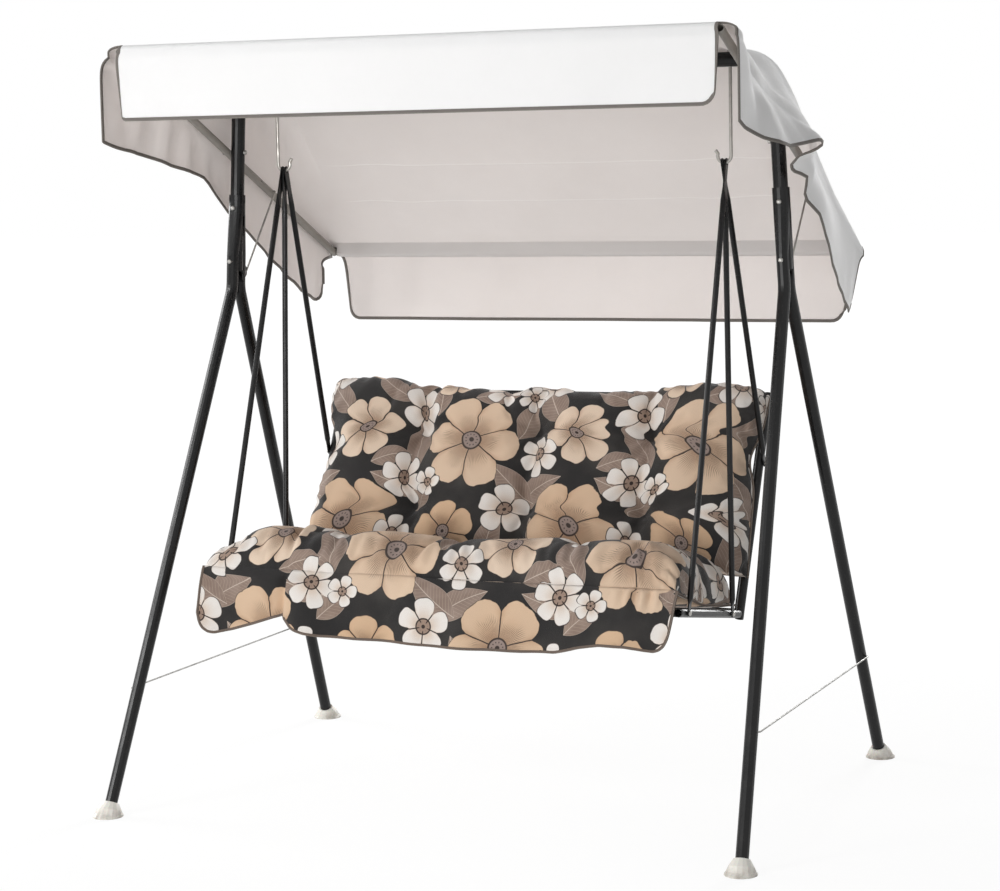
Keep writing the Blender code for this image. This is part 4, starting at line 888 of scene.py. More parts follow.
def edge_tape(name: str, points: Points, ring: Points, inner: Points, sizes: tuple[float, float],
              closed: bool) -> bpy.types.Object:
    """A folded tape over a cloth's edge: a flattened round carried along the edge, with the edge inside it.

    Args:
        name: the piece's name.
        points: the cloth's points.
        ring: point numbers along the edge.
        inner: for each of them, a point number further into the cloth.
        sizes: the tape's folded width and its thickness.
        closed: whether the edge runs round to its start.

    Returns:
        The tape.
    """
    edge = points[ring]
    if closed:
        along = unit(np.roll(edge, -1, axis=0) - np.roll(edge, 1, axis=0))
    else:
        along = unit(np.gradient(edge, axis=0))
    inward = unit(points[inner] - edge)
    inward = unit(inward - along * np.sum(inward * along, axis=1, keepdims=True))
    over = np.cross(along, inward)
    width, thickness = sizes
    turn = np.linspace(0, 2 * pi, 13)
    reach = width * (0.46 - 0.54 * np.sign(np.cos(turn)) * np.abs(np.cos(turn)) ** 0.7)
    rise = thickness / 2 * np.sign(np.sin(turn)) * np.abs(np.sin(turn)) ** 0.5
    if closed:
        edge, inward, over = (np.concatenate([part, part[:1]]) for part in (edge, inward, over))
    shell = edge[:, None] + inward[:, None] * reach[None, :, None] + over[:, None] * rise[None, :, None]
    length = run_lengths(edge[:, None], 0)[:, 0]
    uvs = np.stack(np.broadcast_arrays(length[:, None], (turn / (2 * pi))[None, :]), axis=-1).reshape(-1, 2)
    index = np.arange(len(edge) * len(turn)).reshape(len(edge), len(turn))
    faces = grid_faces(index).tolist()
    if not closed:
        faces += [index[0, :-1].tolist(), index[-1, -2::-1].tolist()]
    made = make_mesh(name, shell.reshape(-1, 3), faces, uvs)
    close_up(made)
    return made


def puff(made: bpy.types.Object, held: Points, spare: float, cap: float, steps: int = 20) -> None:
    """Blows a cushion up with Blender's cloth, where the cloth is a little larger than the form.

    Args:
        made: the cushion, whose mesh is replaced by the result.
        held: point numbers that stay where they are.
        spare: how much larger the cloth is than the form, as a share.
        cap: the furthest that a point may move.
        steps: frames of simulation.
    """
    before = read_points(made)
    group = made.vertex_groups.new(name="held")
    group.add(held.tolist(), 1.0, "REPLACE")
    cloth = made.modifiers.new("filling", "CLOTH")
    settings = cloth.settings
    settings.quality = 5
    settings.mass = 0.3
    settings.tension_stiffness = settings.compression_stiffness = 12.0
    settings.shear_stiffness = 4.0
    settings.bending_stiffness = 0.25
    settings.use_pressure = True
    settings.uniform_pressure_force = 4.0
    settings.effector_weights.gravity = 0.0
    settings.vertex_group_mass = "held"
    settings.shrink_min = -spare
    cloth.collision_settings.use_collision = False
    scene = bpy.context.scene
    for step in range(1, steps + 1):
        scene.frame_set(step)
    shown = made.evaluated_get(bpy.context.evaluated_depsgraph_get())
    after = np.empty(before.size)
    shown.data.vertices.foreach_get("co", after)
    moved = after.reshape(-1, 3) - before
    length = np.linalg.norm(moved, axis=1, keepdims=True)
    moved *= np.minimum(1.0, cap / np.maximum(length, 1e-9))
    made.modifiers.remove(cloth)
    made.vertex_groups.remove(group)
    made.data.vertices.foreach_set("co", (before + moved).ravel())
    made.data.update()
    scene.frame_set(1)
    log.info("%s filled, largest move %.1f mm", made.name, float(np.minimum(length, cap).max()) * 1000)


@dataclass
class Pillow:
    """A crowned closed cushion with its sides drawn in between the corners and rows of sewn tufts."""

    name: str
    foot: tuple[float, float, float]
    tilt: float
    half_width: float
    length: float
    rim: float
    crown: float
    belly: float
    tufts: tuple[tuple[float, float], ...]
    print_at: tuple[float, float]
    far_edge: tuple[tuple[float, float], ...] = ((0.0, 0.0),)
    crest: tuple[tuple[float, float], ...] = ((0.0, 0.0),)
    creases: tuple[tuple[float, float, float, float, float], ...] = ()
    ear: tuple[float, float] = (0.0, 0.03)
    front_rise: float = 0.0
    draw: float = 0.012
    tuck: float = 0.008
    tuft_depth: float = 0.038
    tuft_spread: float = 0.026
    gather: float = 0.003
    roundness: tuple[float, float, float] = (10.0, 5.0, 16.0)
    columns: int = 150
    rows: int = 60
    pinch: tuple[float, float, float] = (0.0, 0.5, 0.1)
    sewn_radius: float = 0.012
    spare_cloth: float = 0.05
    fill_cap: float = 0.016

    def axes(self) -> tuple[Points, Points]:
        """The directions along the cushion and out of its face."""
        along = np.array([0.0, cos(self.tilt), sin(self.tilt)])
        return along, np.array([0.0, -sin(self.tilt), cos(self.tilt)])

    def spread(self, count: int) -> Points:
        """Steps from -1 to 1 that are closer together towards both ends."""
        share = np.linspace(0, 1, count + 1)
        return 0.5 * (2 * share - 1) - 0.5 * np.cos(pi * share)

    def dents(self, x: Points, y: Points) -> Points:
        """How deep the thread pulls the face in.

        Each tuft has a pit, rays round it, a valley and a crease across. A pit is e to the minus of the
        distance; a crease is a narrow bell across its line.

        Args:
            x: places across the cushion.
            y: places along it.

        Returns:
            The depth at each place.
        """
        total = np.zeros_like(x)
        for place_x, place_y in self.tufts:
            dx, dy = x - place_x, y - place_y
            away, turn = np.hypot(dx, dy), np.arctan2(dy, dx)
            rays = 0.0042 * np.cos(7 * turn + 19 * place_x) + 0.0028 * np.cos(12 * turn + 2.0 + 7 * place_y)
            total += self.tuft_depth * np.exp(-away / self.tuft_spread)
            total += rays * smooth(away, 0.004, 0.03) * np.exp(-((away / 0.09) ** 2))
            total += 0.012 * bell(dx, 0.0, 0.034) * bell(dy, 0.0, 0.15)
            total += 0.009 * bell(dx + 0.06 * dy, 0.0, 0.0085) * bell(dy, 0.0, 0.085)
            total += 0.006 * bell(dy - 0.05 * dx, 0.0, 0.012) * bell(dx, 0.0, 0.10)
        for place, begin, end, depth, lean in self.creases:
            away = x - place - lean * (y - begin)
            run = smooth(y, begin - 0.03, begin + 0.01) * (1 - smooth(y, end - 0.02, end + 0.03))
            step = smooth(away, -0.014, 0.0) * (1 - smooth(away, 0.0, 0.05))
            total += depth * run * (bell(away, -0.004, 0.008) - 0.35 * step)
        return total

    def ripples(self, x: Points, y: Points, s: Points, t: Points) -> Points:
        """Soft waves all over, and gathers that grow towards the seams.

        Args:
            x: places across the cushion.
            y: places along it.
            s: the places across as shares, from -1 to 1.
            t: the places along as shares, from -1 to 1.

        Returns:
            The heights.
        """
        wave = 0.0034 * np.sin(12.5 * x + 1.0 + 2.1 * np.sin(9 * y)) * np.cos(2.2 * t)
        wave = wave + 0.002 * np.sin(23 * x + 19 * y)
        across = np.sin(150 * x + 2.5 * np.sin(23 * x)) * smooth(np.abs(t), 0.72, 0.95)
        beside = np.sin(140 * y + 2.5 * np.sin(31 * y)) * smooth(np.abs(s), 0.88, 0.98)
        return wave + self.gather * (across + 1.5 * beside)

    def shape(self) -> tuple[Points, Points, Points]:
        """The upper and lower face on a grid that is finer towards the rim.

        Height is the crown, a root of (1 - s^m)(1 - t^n), less the dents; x narrows as 1 - t^2 grows; the
        seam is tucked in under the roll.

        Returns:
            The upper and lower points, each rows by columns, and the upper points' places on the cloth.
        """
        s, t = self.spread(self.columns)[None, :], self.spread(self.rows)[:, None]
        depth, place, width = self.pinch
        flat = self.length / 2 * (1 + t)
        half = self.half_width - depth * bell(flat / self.length, place, width)
        x = s * (half - self.draw * (1 - t * t) - self.tuck * smooth(np.abs(s), 0.95, 1.0))
        reach, end = self.ear
        x = x - reach * smooth(-s, 0.82, 1.0) * (1 - smooth(flat, end * 0.55, end))
        far = np.interp(x, *np.array(self.far_edge).T)
        front_tuck = np.where(t < 0, smooth(x, -0.25, 0.05), 1.0)
        y = flat - self.draw * (1 - s * s) * t - self.tuck * front_tuck * t * smooth(np.abs(t), 0.94, 1.0)
        y = y - far * np.maximum(t, 0.0) ** 3
        ends, sides, under = self.roundness
        crown = np.sqrt(np.maximum((1 - np.abs(s) ** ends) * (1 - np.abs(t) ** sides), 0.0))
        base = np.sqrt(np.maximum((1 - np.abs(s) ** under) * (1 - np.abs(t) ** under), 0.0))
        lift = self.front_rise * np.maximum(-t, 0.0) + 0 * s
        crest = np.interp(x, *np.array(self.crest).T)
        height = (self.crown + crest + self.ripples(x, y, s, t) - self.dents(x, y)) * crown + lift
        seam = 0.0025 * np.sin(30 * x + 4 * y) * (1 - crown) * (t > -1)
        along, out = self.axes()
        flat_points = np.array(self.foot) + x[..., None] * np.array([1.0, 0.0, 0.0]) + y[..., None] * along
        upper = flat_points + (self.rim + height + seam)[..., None] * out
        lower = flat_points + (self.rim + lift * (1 - base) - self.belly * base + seam)[..., None] * out
        middle = self.columns // 2
        cloth_x = run_lengths(upper, 1)
        cloth_x = cloth_x - cloth_x[:, middle][:, None]
        cloth_y = run_lengths(upper, 0)[:, middle][:, None] + 0 * x
        cloth = np.stack([cloth_x + self.print_at[0], cloth_y + self.print_at[1]], axis=-1)
        return upper, lower, cloth

    def build(self, wardrobe: Wardrobe) -> tuple[bpy.types.Object, Points]:
        """Builds the cushion, fills it and gives it its print.

        Args:
            wardrobe: the finishes.

        Returns:
            The cushion, and its upper points before filling.
        """
        upper, lower, cloth = self.shape()
        rows, columns = self.rows + 1, self.columns + 1
        top = np.arange(rows * columns).reshape(rows, columns)
        under = np.full((rows, columns), -1)
        under[0], under[-1], under[:, 0], under[:, -1] = top[0], top[-1], top[:, 0], top[:, -1]
        inside = under < 0
        under[inside] = top.size + np.arange(inside.sum())
        points = np.concatenate([upper.reshape(-1, 3), lower[inside]])
        below = cloth[inside] + np.array([0.13, 0.21])
        uvs = np.concatenate([cloth.reshape(-1, 2), below])
        faces = np.concatenate([grid_faces(top), grid_faces(under)[:, ::-1]])
        made = make_mesh(self.name, points, faces.tolist(), uvs)
        close_up(made)
        along, _ = self.axes()
        x, y = upper[..., 0], (upper - np.array(self.foot)) @ along
        pits = np.zeros((rows, columns), dtype=bool)
        for place_x, place_y in self.tufts:
            pits |= np.hypot(x - place_x, y - place_y) < self.sewn_radius
        held = np.concatenate([np.unique(under), top[pits]])
        puff(made, np.unique(held), spare=self.spare_cloth, cap=self.fill_cap)
        grow = made.modifiers.new("rounder", "SUBSURF")
        grow.levels = grow.render_levels = 1
        wardrobe.wear(made, Look.PRINT)
        return made, upper


# Where on the print the seat cushion's front seam starts, so that the flap goes on from it
SEAT_PRINT_AT = (0.62, 0.30)
# Where the flap's hem runs: distance from the middle and height
SKIRT_HEM = (
    (-0.640, 0.478), (-0.638, 0.459), (-0.628, 0.440), (-0.613, 0.429), (-0.597, 0.426), (-0.551, 0.435),
    (-0.496, 0.451), (-0.441, 0.469), (-0.412, 0.477), (-0.400, 0.475), (-0.390, 0.458), (-0.378, 0.447),
    (-0.350, 0.438), (-0.310, 0.432), (-0.227, 0.428), (-0.062, 0.423), (0.089, 0.421), (0.205, 0.421),
    (0.290, 0.424), (0.323, 0.432), (0.352, 0.440), (0.404, 0.448), (0.465, 0.448), (0.510, 0.441),
    (0.532, 0.439), (0.546, 0.443), (0.558, 0.452), (0.567, 0.466), (0.572, 0.480),
)


@dataclass
class Cushions:
    """The seat cushion on its net, the back cushion against its uprights and the flap in front."""

    hanger_plane: float = 0.600
    seat_front: tuple[float, float] = (-0.388, 0.53329)
    seat_tilt: float = radians(9.94)
    back_foot: tuple[float, float] = (0.081, 0.4511)
    back_tilt: float = radians(26.0)
    skirt_left: float = -0.637
    skirt_right: float = 0.590
    skirt_thickness: float = 0.0022
    skirt_tape: tuple[float, float] = (0.0065, 0.0046)
    piping_radius: float = 0.0028
    piping_sides: int = 8
    fill: float = 0.7

    def seat(self) -> Pillow:
        """The seat cushion: its front edge stands higher, and one corner reaches past the hangers.

        Returns:
            The cushion's sizes.
        """
        length = 0.444 / cos(self.seat_tilt)
        return Pillow(
            name="seat_cushion_print", foot=(0.0, *self.seat_front), tilt=-self.seat_tilt,
            half_width=self.hanger_plane - 0.013, length=length, rim=0.020, crown=0.112, belly=0.0126,
            tufts=tuple((x, 0.225) for x in (-0.29, 0.01, 0.31)), print_at=SEAT_PRINT_AT,
            crest=(
                (-0.60, 0.004), (-0.47, 0.006), (-0.30, 0.002), (-0.17, 0.002), (-0.06, -0.010),
                (-0.02, -0.012), (0.13, -0.003), (0.28, 0.002), (0.38, 0.005), (0.48, 0.002), (0.59, 0.004),
            ),
            creases=(
                (-0.40, 0.0, 0.12, 0.034, -0.10), (-0.075, 0.02, 0.14, 0.020, 0.35),
                (0.45, 0.0, 0.08, 0.020, 0.3), (0.51, 0.0, 0.07, 0.020, -0.4),
                (-0.36, 0.08, 0.15, 0.014, 0.9),
            ),
            ear=(0.050, 0.045), front_rise=0.030, draw=0.006, tuck=0.004, gather=0.0055,
            roundness=(20.0, 4.0, 6.0),
        )

    def back(self) -> Pillow:
        """The back cushion: two rows of tufts, and sides pressed in where the rear hangers pass.

        Returns:
            The cushion's sizes.
        """
        run = 0.075
        foot_y, foot_z = self.back_foot
        return Pillow(
            name="back_cushion_print",
            foot=(0.0, foot_y + run * sin(self.back_tilt), foot_z + run * cos(self.back_tilt)),
            tilt=pi / 2 - self.back_tilt, half_width=self.hanger_plane + 0.014, length=0.523, rim=0.020,
            crown=0.085, belly=0.0098,
            tufts=tuple((x, y) for y in (0.150, 0.352) for x in (-0.295, 0.02, 0.325)),
            print_at=(0.62, 0.02), pinch=(0.022, 0.602, 0.106), tuck=0.012,
            far_edge=(
                (-0.614, 0.046), (-0.598, 0.024), (-0.562, 0.012), (-0.472, 0.002), (-0.422, 0.004),
                (-0.384, 0.010), (-0.343, 0.027), (-0.285, 0.031), (-0.272, 0.036), (-0.258, 0.025),
                (-0.152, 0.028), (-0.103, 0.034), (-0.055, 0.043), (-0.035, 0.030), (-0.011, 0.022),
                (0.034, 0.030), (0.063, 0.022), (0.131, 0.031), (0.255, 0.029), (0.308, 0.032),
                (0.330, 0.022), (0.375, 0.015), (0.435, 0.007), (0.495, 0.006), (0.535, 0.014),
                (0.577, 0.021), (0.602, 0.034),
            ),
            creases=(
                (-0.272, 0.37, 0.52, 0.016, 0.0), (-0.050, 0.39, 0.52, 0.016, -0.3),
                (0.31, 0.38, 0.52, 0.012, 0.1), (-0.315, 0.18, 0.32, 0.012, 0.10),
                (-0.59, 0.36, 0.40, 0.012, 0.0), (0.57, 0.36, 0.40, 0.012, 0.0),
                (-0.39, 0.40, 0.52, 0.009, 0.2), (0.20, 0.42, 0.52, 0.008, -0.1),
            ),
        )

    def skirt_shape(self, rim: Points) -> tuple[Points, Points]:
        """The flap: each column runs from the seam to the hem, and bows out between them as half a sine wave.

        Args:
            rim: the seat cushion's front seam, from left to right.

        Returns:
            The points on a grid from the seam down, and their places on the cloth.
        """
        down = np.linspace(0, 1, 37)[:, None]
        even = np.linspace(0, 1, 201)
        share = (0.55 * even + 0.45 * (1 - np.cos(pi * even)) / 2)[None, :]
        hem_x, hem_z = np.array(SKIRT_HEM).T
        top_x = self.skirt_left + (self.skirt_right - self.skirt_left) * share
        low_x = hem_x[0] + (hem_x[-1] - hem_x[0]) * share
        x = top_x + (low_x - top_x) * down**1.6
        top_y, top_z = (np.interp(top_x, rim[:, 0], rim[:, axis]) for axis in (1, 2))
        low_z = np.interp(low_x, hem_x, hem_z)
        kernel = np.array([0.2, 0.6, 0.2])
        low_z[0, 1:-1] = np.convolve(low_z[0], kernel, "valid")
        swell = (0.008 + 0.008 * smooth(x, -0.2, 0.1)) * np.sin(pi / 2 * np.minimum(2 * down, 1.0))
        swell = swell + 0.007 * down * (1 + np.sin(2 * pi * 3.3 * share + 2.6))
        swell = swell + 0.0035 * down**0.5 * np.sin(2 * pi * 9.0 * share + 0.7) * smooth(down, 0.0, 0.2)
        pleat = x + 0.397 + 0.010 * down
        fold = 0.020 * smooth(pleat, -0.004, 0.004) * (1 - smooth(pleat, 0.0, 0.16))
        swell = swell + fold * smooth(down, 0.0, 0.2)
        swell = swell - 0.010 * bell(pleat, -0.012, 0.012) * smooth(down, 0.0, 0.2)
        swell = swell + 0.012 * smooth(-x, 0.50, 0.64) * down
        slant = x + 0.075 + 0.10 * down
        fold = 0.006 * smooth(slant, -0.006, 0.006) * (1 - smooth(slant, 0.0, 0.10))
        swell = swell + fold * bell(down, 0.1, 0.5)
        gather = np.sin(2 * pi * (x - 0.50) / 0.034 + 3.0 * down) * bell(x, 0.50, 0.055)
        swell = swell + 0.0085 * (gather * bell(down, 0.08, 0.22)) * smooth(down, 0.0, 0.05)
        lap = (1 - smooth(down, 0.0, 0.05)) * (1 - smooth(x, -0.10, 0.02))
        height = top_z + (low_z - top_z) * down + 0.004 * lap
        points = np.stack([x, top_y - 0.0003 - swell + 0.004 * lap, height], axis=-1)
        across = run_lengths(points, 1)
        middle = int(np.argmin(np.abs(top_x[0])))
        cloth_x = across - across[:, middle][:, None] + SEAT_PRINT_AT[0]
        cloth = np.stack([cloth_x, SEAT_PRINT_AT[1] - run_lengths(points, 0)], axis=-1)
        return points, cloth

    def build_skirt(self, rim: Points, wardrobe: Wardrobe) -> None:
        """Builds the flap and the piping along its free edges.

        Args:
            rim: the seat cushion's front seam, from left to right.
            wardrobe: the finishes.
        """
        grid, cloth = self.skirt_shape(rim)
        index = np.arange(grid.shape[0] * grid.shape[1]).reshape(grid.shape[:2])
        points = grid.reshape(-1, 3)
        faces = grid_faces(index)
        if point_normals(points, faces)[:, 1].sum() > 0:
            faces = faces[:, ::-1]
        skirt = make_mesh("seat_skirt_print", points, faces.tolist(), cloth.reshape(-1, 2))
        wall = skirt.modifiers.new("thickness", "SOLIDIFY")
        wall.thickness = self.skirt_thickness
        wall.offset = 1.0
        wardrobe.wear(skirt, Look.PRINT)
        ring = np.concatenate([index[:-1, 0], index[-1, :-1], index[::-1, -1]])
        inner = np.concatenate([index[:-1, 1], index[-2, :-1], index[::-1, -2]])
        inner[len(index) - 1] = index[-2, 1]
        inner[len(index) - 1 + index.shape[1] - 1] = index[-2, -2]
        mid = points + point_normals(points, faces) * self.skirt_thickness / 2
        tape = edge_tape("skirt_piping", mid, ring, inner, self.skirt_tape, closed=False)
        wardrobe.wear(tape, Look.BROWN_PIPING)
        for made in (skirt, tape):
            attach(made, "seat")
        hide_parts("seat_skirt")

    def build_rim(self, name: str, upper: Points, wardrobe: Wardrobe) -> None:
        """Sews piping round a cushion's seam, but for its near edge.

        Args:
            name: the piece's name.
            upper: the cushion's upper points.
            wardrobe: the finishes.
        """
        path = np.concatenate([upper[:-1, -1], upper[-1, :0:-1], upper[::-1, 0]])
        normal = unit(np.cross(upper[0, -1] - upper[0, 0], upper[-1, 0] - upper[0, 0]))
        sides = self.piping_sides
        points, faces = tube_along(path, np.full(len(path), self.piping_radius), sides, normal)
        length = np.repeat(run_lengths(path[:, None], 0)[:, 0], sides)
        around = np.tile(np.arange(sides) / sides, len(path))
        made = make_mesh(name, points, faces, np.stack([length, around], axis=-1))
        close_up(made)
        wardrobe.wear(made, Look.BROWN_PIPING)
        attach(made, "seat")

    def build(self, wardrobe: Wardrobe) -> None:
        """Builds both cushions and the flap.

        Args:
            wardrobe: the finishes.
        """
        rims = []
        for pillow, node in ((self.seat(), "seat_cushion"), (self.back(), "back_cushion")):
            made, upper = pillow.build(wardrobe)
            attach(made, "seat")
            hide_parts(node)
            self.build_rim(f"{node}_piping", upper, wardrobe)
            rims.append(upper[0])
            log.info("%s stuffed and sewn", node)
        self.build_skirt(rims[0], wardrobe)


# Where each end of the front and rear valances stands, at its top and hem, and its corner's round
VALANCE_SIDES = {
    "front": ((-0.753, -0.732, 0.010), (0.746, 0.738, 0.032)),
    "rear": ((-0.722, -0.712, 0.030), (0.738, 0.700, 0.034)),
}
# Each side valance's hem: the reach of the edge above it, then its own x, y and z
SIDE_HEMS = {
    "left": (
        (-0.514, -0.800, -0.521, 1.650), (-0.508, -0.800, -0.514, 1.628), (-0.495, -0.799, -0.500, 1.616),
        (-0.450, -0.797, -0.452, 1.603), (-0.310, -0.790, -0.306, 1.582), (-0.200, -0.786, -0.203, 1.556),
        (-0.070, -0.775, -0.068, 1.529), (-0.020, -0.770, -0.018, 1.483), (0.040, -0.765, 0.038, 1.435),
        (0.140, -0.765, 0.137, 1.383), (0.235, -0.765, 0.233, 1.324), (0.330, -0.765, 0.331, 1.267),
        (0.430, -0.765, 0.427, 1.216), (0.510, -0.762, 0.497, 1.184), (0.555, -0.760, 0.523, 1.180),
        (0.585, -0.757, 0.538, 1.195), (0.603, -0.756, 0.546, 1.225),
    ),
    "right": (
        (-0.514, 0.790, -0.547, 1.655), (-0.502, 0.790, -0.527, 1.634), (-0.480, 0.793, -0.487, 1.615),
        (-0.415, 0.800, -0.410, 1.598), (-0.335, 0.812, -0.330, 1.582), (-0.250, 0.822, -0.250, 1.574),
        (-0.150, 0.834, -0.157, 1.581), (-0.070, 0.842, -0.071, 1.588), (-0.035, 0.838, -0.032, 1.578),
        (-0.010, 0.818, -0.037, 1.564), (0.015, 0.785, -0.063, 1.554), (0.035, 0.766, -0.061, 1.534),
        (0.055, 0.766, -0.053, 1.517), (0.085, 0.785, 0.025, 1.503), (0.110, 0.775, 0.005, 1.470),
        (0.135, 0.775, 0.033, 1.446), (0.180, 0.788, 0.104, 1.414), (0.240, 0.785, 0.172, 1.352),
        (0.320, 0.765, 0.302, 1.275), (0.420, 0.750, 0.412, 1.217), (0.530, 0.738, 0.520, 1.165),
        (0.580, 0.733, 0.553, 1.152), (0.603, 0.733, 0.572, 1.175),
    ),
}


class Cloth:
    """A sheet put together block by block: points, their places on the cut cloth, and faces."""

    def __init__(self, grid: Points, places: Points) -> None:
        """Starts with one grid.

        Args:
            grid: the points, rows by columns.
            places: where each lies on the cut cloth.
        """
        self.index = np.arange(grid.shape[0] * grid.shape[1]).reshape(grid.shape[:2])
        self.points = [grid.reshape(-1, 3)]
        self.places = [places.reshape(-1, 2)]
        self.faces = [grid_faces(self.index)]

    def hang(self, edge: Points, grid: Points, places: Points) -> Points:
        """Hangs a grid from an edge of what is there.

        Args:
            edge: the point numbers of the edge.
            grid: the points under it, rows by columns.
            places: where each lies on the cut cloth.

        Returns:
            The point numbers of the edge and of the grid under it.
        """
        first = sum(len(block) for block in self.points)
        index = first + np.arange(grid.shape[0] * grid.shape[1]).reshape(grid.shape[:2])
        whole = np.concatenate([edge[None], index])
        self.points.append(grid.reshape(-1, 3))
        self.places.append(places.reshape(-1, 2))
        self.faces.append(grid_faces(whole))
        return whole


@dataclass
class Canopy:
    """The white cloth over its tilting frame: one sheet with four valances apart at the corners."""

    front_tube: tuple[float, float] = (-0.500, 1.83000)
    rear_tube: tuple[float, float] = (0.600, 1.31000)
    ridge: tuple[float, float] = (0.022, 1.78200)
    tube_plane: float = 0.7446
    front_wrap: float = 0.0135
    rear_wrap: float = 0.0125
    ridge_wrap: float = 0.0245
    shoulder_wrap: float = 0.1025
    shoulder_half_width: float = 0.7315
    bulge: float = 0.012
    bulge_reach: float = 0.350
    sag: float = 0.006
    thickness: float = 0.0012
    front_drop: float = 0.163
    rear_drop: float = 0.186
    flare: float = 0.009
    corner_spread: float = 1.6
    corner_columns: int = 16
    edge_beside: float = 0.0119
    edge_below: float = 0.0111
    beam_reach: float = 0.016
    beam_flat: float = 0.012
    binding: tuple[float, float] = (0.0078, 0.0042)
    sleeve_half_width: float = 0.7305
    sleeve_thickness: float = 0.0006

    def tube_line(self, y: Points) -> Points:
        """Height of the side tubes' axes at a reach."""
        (front_y, front_z), (rear_y, rear_z) = self.front_tube, self.rear_tube
        return front_z + (y - front_y) * (rear_z - front_z) / (rear_y - front_y)

    def nearness(self, y: Points) -> Points:
        """1 over the beam, falling evenly to 0 some way before and behind it."""
        away = np.maximum(np.abs(y - self.beam_reach) - self.beam_flat, 0.0)
        return np.maximum(1 - away / self.bulge_reach, 0.0)

    def tangent_turn(self, tube: tuple[float, float], wrap: float) -> float:
        """Lean from plumb of the cloth's normal where it runs straight from a cross tube to the ridge.

        Args:
            tube: the cross tube's reach and height.
            wrap: how far the cloth over it is from its axis.

        Returns:
            The lean towards the rear, in radians.
        """
        away = np.array(tube) - np.array(self.ridge)
        half = np.arcsin((self.ridge_wrap - wrap) / np.hypot(*away))
        bearing = np.arctan2(away[1], away[0])
        return float(half - bearing if away[0] > 0 else pi - half - bearing)

    def on_round(self, centre: tuple[float, float], radius: float, turn: Points) -> Points:
        """Places on a round, by their lean from plumb towards the rear."""
        turn = np.atleast_1d(turn)
        return np.stack([centre[0] + radius * np.sin(turn), centre[1] + radius * np.cos(turn)], axis=-1)

    def panel(self, start: Points, stop: Points, share: Points) -> Points:
        """A run of cloth between two supports: straight, less a sag of 4 s (1 - s)."""
        run = start + (stop - start) * share[:, None]
        return run - np.array([0.0, 1.0]) * (4 * self.sag * share * (1 - share))[:, None]

    def rows(self) -> Points:
        """Reach and height of the cloth along its middle, from the front tube to the rear one.

        Returns:
            One row of reach and height a point.
        """
        front = self.tangent_turn(self.front_tube, self.front_wrap)
        rear = self.tangent_turn(self.rear_tube, self.rear_wrap)
        share = (1 - np.cos(pi * np.linspace(0, 1, 34))) / 2
        first = self.panel(
            self.on_round(self.front_tube, self.front_wrap, front)[0],
            self.on_round(self.ridge, self.ridge_wrap, front)[0], share,
        )
        over = self.on_round(self.ridge, self.ridge_wrap, np.linspace(front, rear, 7)[1:-1])
        last = self.panel(
            self.on_round(self.ridge, self.ridge_wrap, rear)[0],
            self.on_round(self.rear_tube, self.rear_wrap, rear)[0], share,
        )
        return np.concatenate([first, over, last])

    def across(self, y: Points, z: Points) -> tuple[Points, Points]:
        """Half cross rows: flat, then round the shoulder, then straight down to just under the side tube.

        Args:
            y: the rows' reaches.
            z: the rows' heights at the middle.

        Returns:
            The distances from the middle and the heights, rows by columns.
        """
        near = self.nearness(y)[:, None]
        tube = self.tube_line(y)[:, None]
        edge = self.tube_plane + self.edge_beside + self.bulge * near
        shoulder = edge + (self.shoulder_half_width - edge) * near * smooth(z[:, None] - tube, 0.088, 0.128)
        wrap = np.minimum(self.shoulder_wrap, z[:, None] - tube)
        flat = shoulder - wrap
        run = np.sin(pi / 2 * np.linspace(0, 1, 30))[None, :-1]
        turn = np.linspace(0, pi / 2, 10)[None, :]
        top = z[:, None] - 0.003 * near
        drop = np.linspace(0, 1, 8)[None, 1:]
        low = tube - self.edge_below
        spread = 1 + self.corner_spread * smooth(-y, 0.40, 0.51)[:, None]
        corner = flat + (shoulder + (edge - shoulder) * drop - flat) * spread
        x = np.concatenate([flat * run, flat + wrap * np.sin(turn) * spread, corner], axis=1)
        down = top - wrap
        heights = [z[:, None] + 0 * run, top - wrap * (1 - np.cos(turn)), down + (low - down) * drop]
        return x, np.concatenate(heights, axis=1)

    def top(self) -> Points:
        """The cloth's top on a grid, from the front tube over the beam to the rear tube.

        Both halves are alike, but the right one bulges out beside the beam and dips in front of it, by bells
        along the reach.

        Returns:
            The points, rows by columns.
        """
        profile = self.rows()
        half_x, half_z = self.across(profile[:, 0], profile[:, 1])
        x = np.concatenate([-half_x[:, :0:-1], half_x], axis=1)
        z = np.concatenate([half_z[:, :0:-1], half_z], axis=1)
        y = profile[:, :1] + 0 * x
        x = x + 0.050 * bell(y, -0.06, 0.12) * smooth(1.755 - z, 0.0, 0.16) * (x > 0.5)
        dip = 0.024 * bell(y, -0.17, 0.09) * smooth(x, 0.58, 0.70)
        z = z - dip * smooth(z - self.tube_line(y), 0.03, 0.08)
        return np.stack([x, y, z], axis=-1)

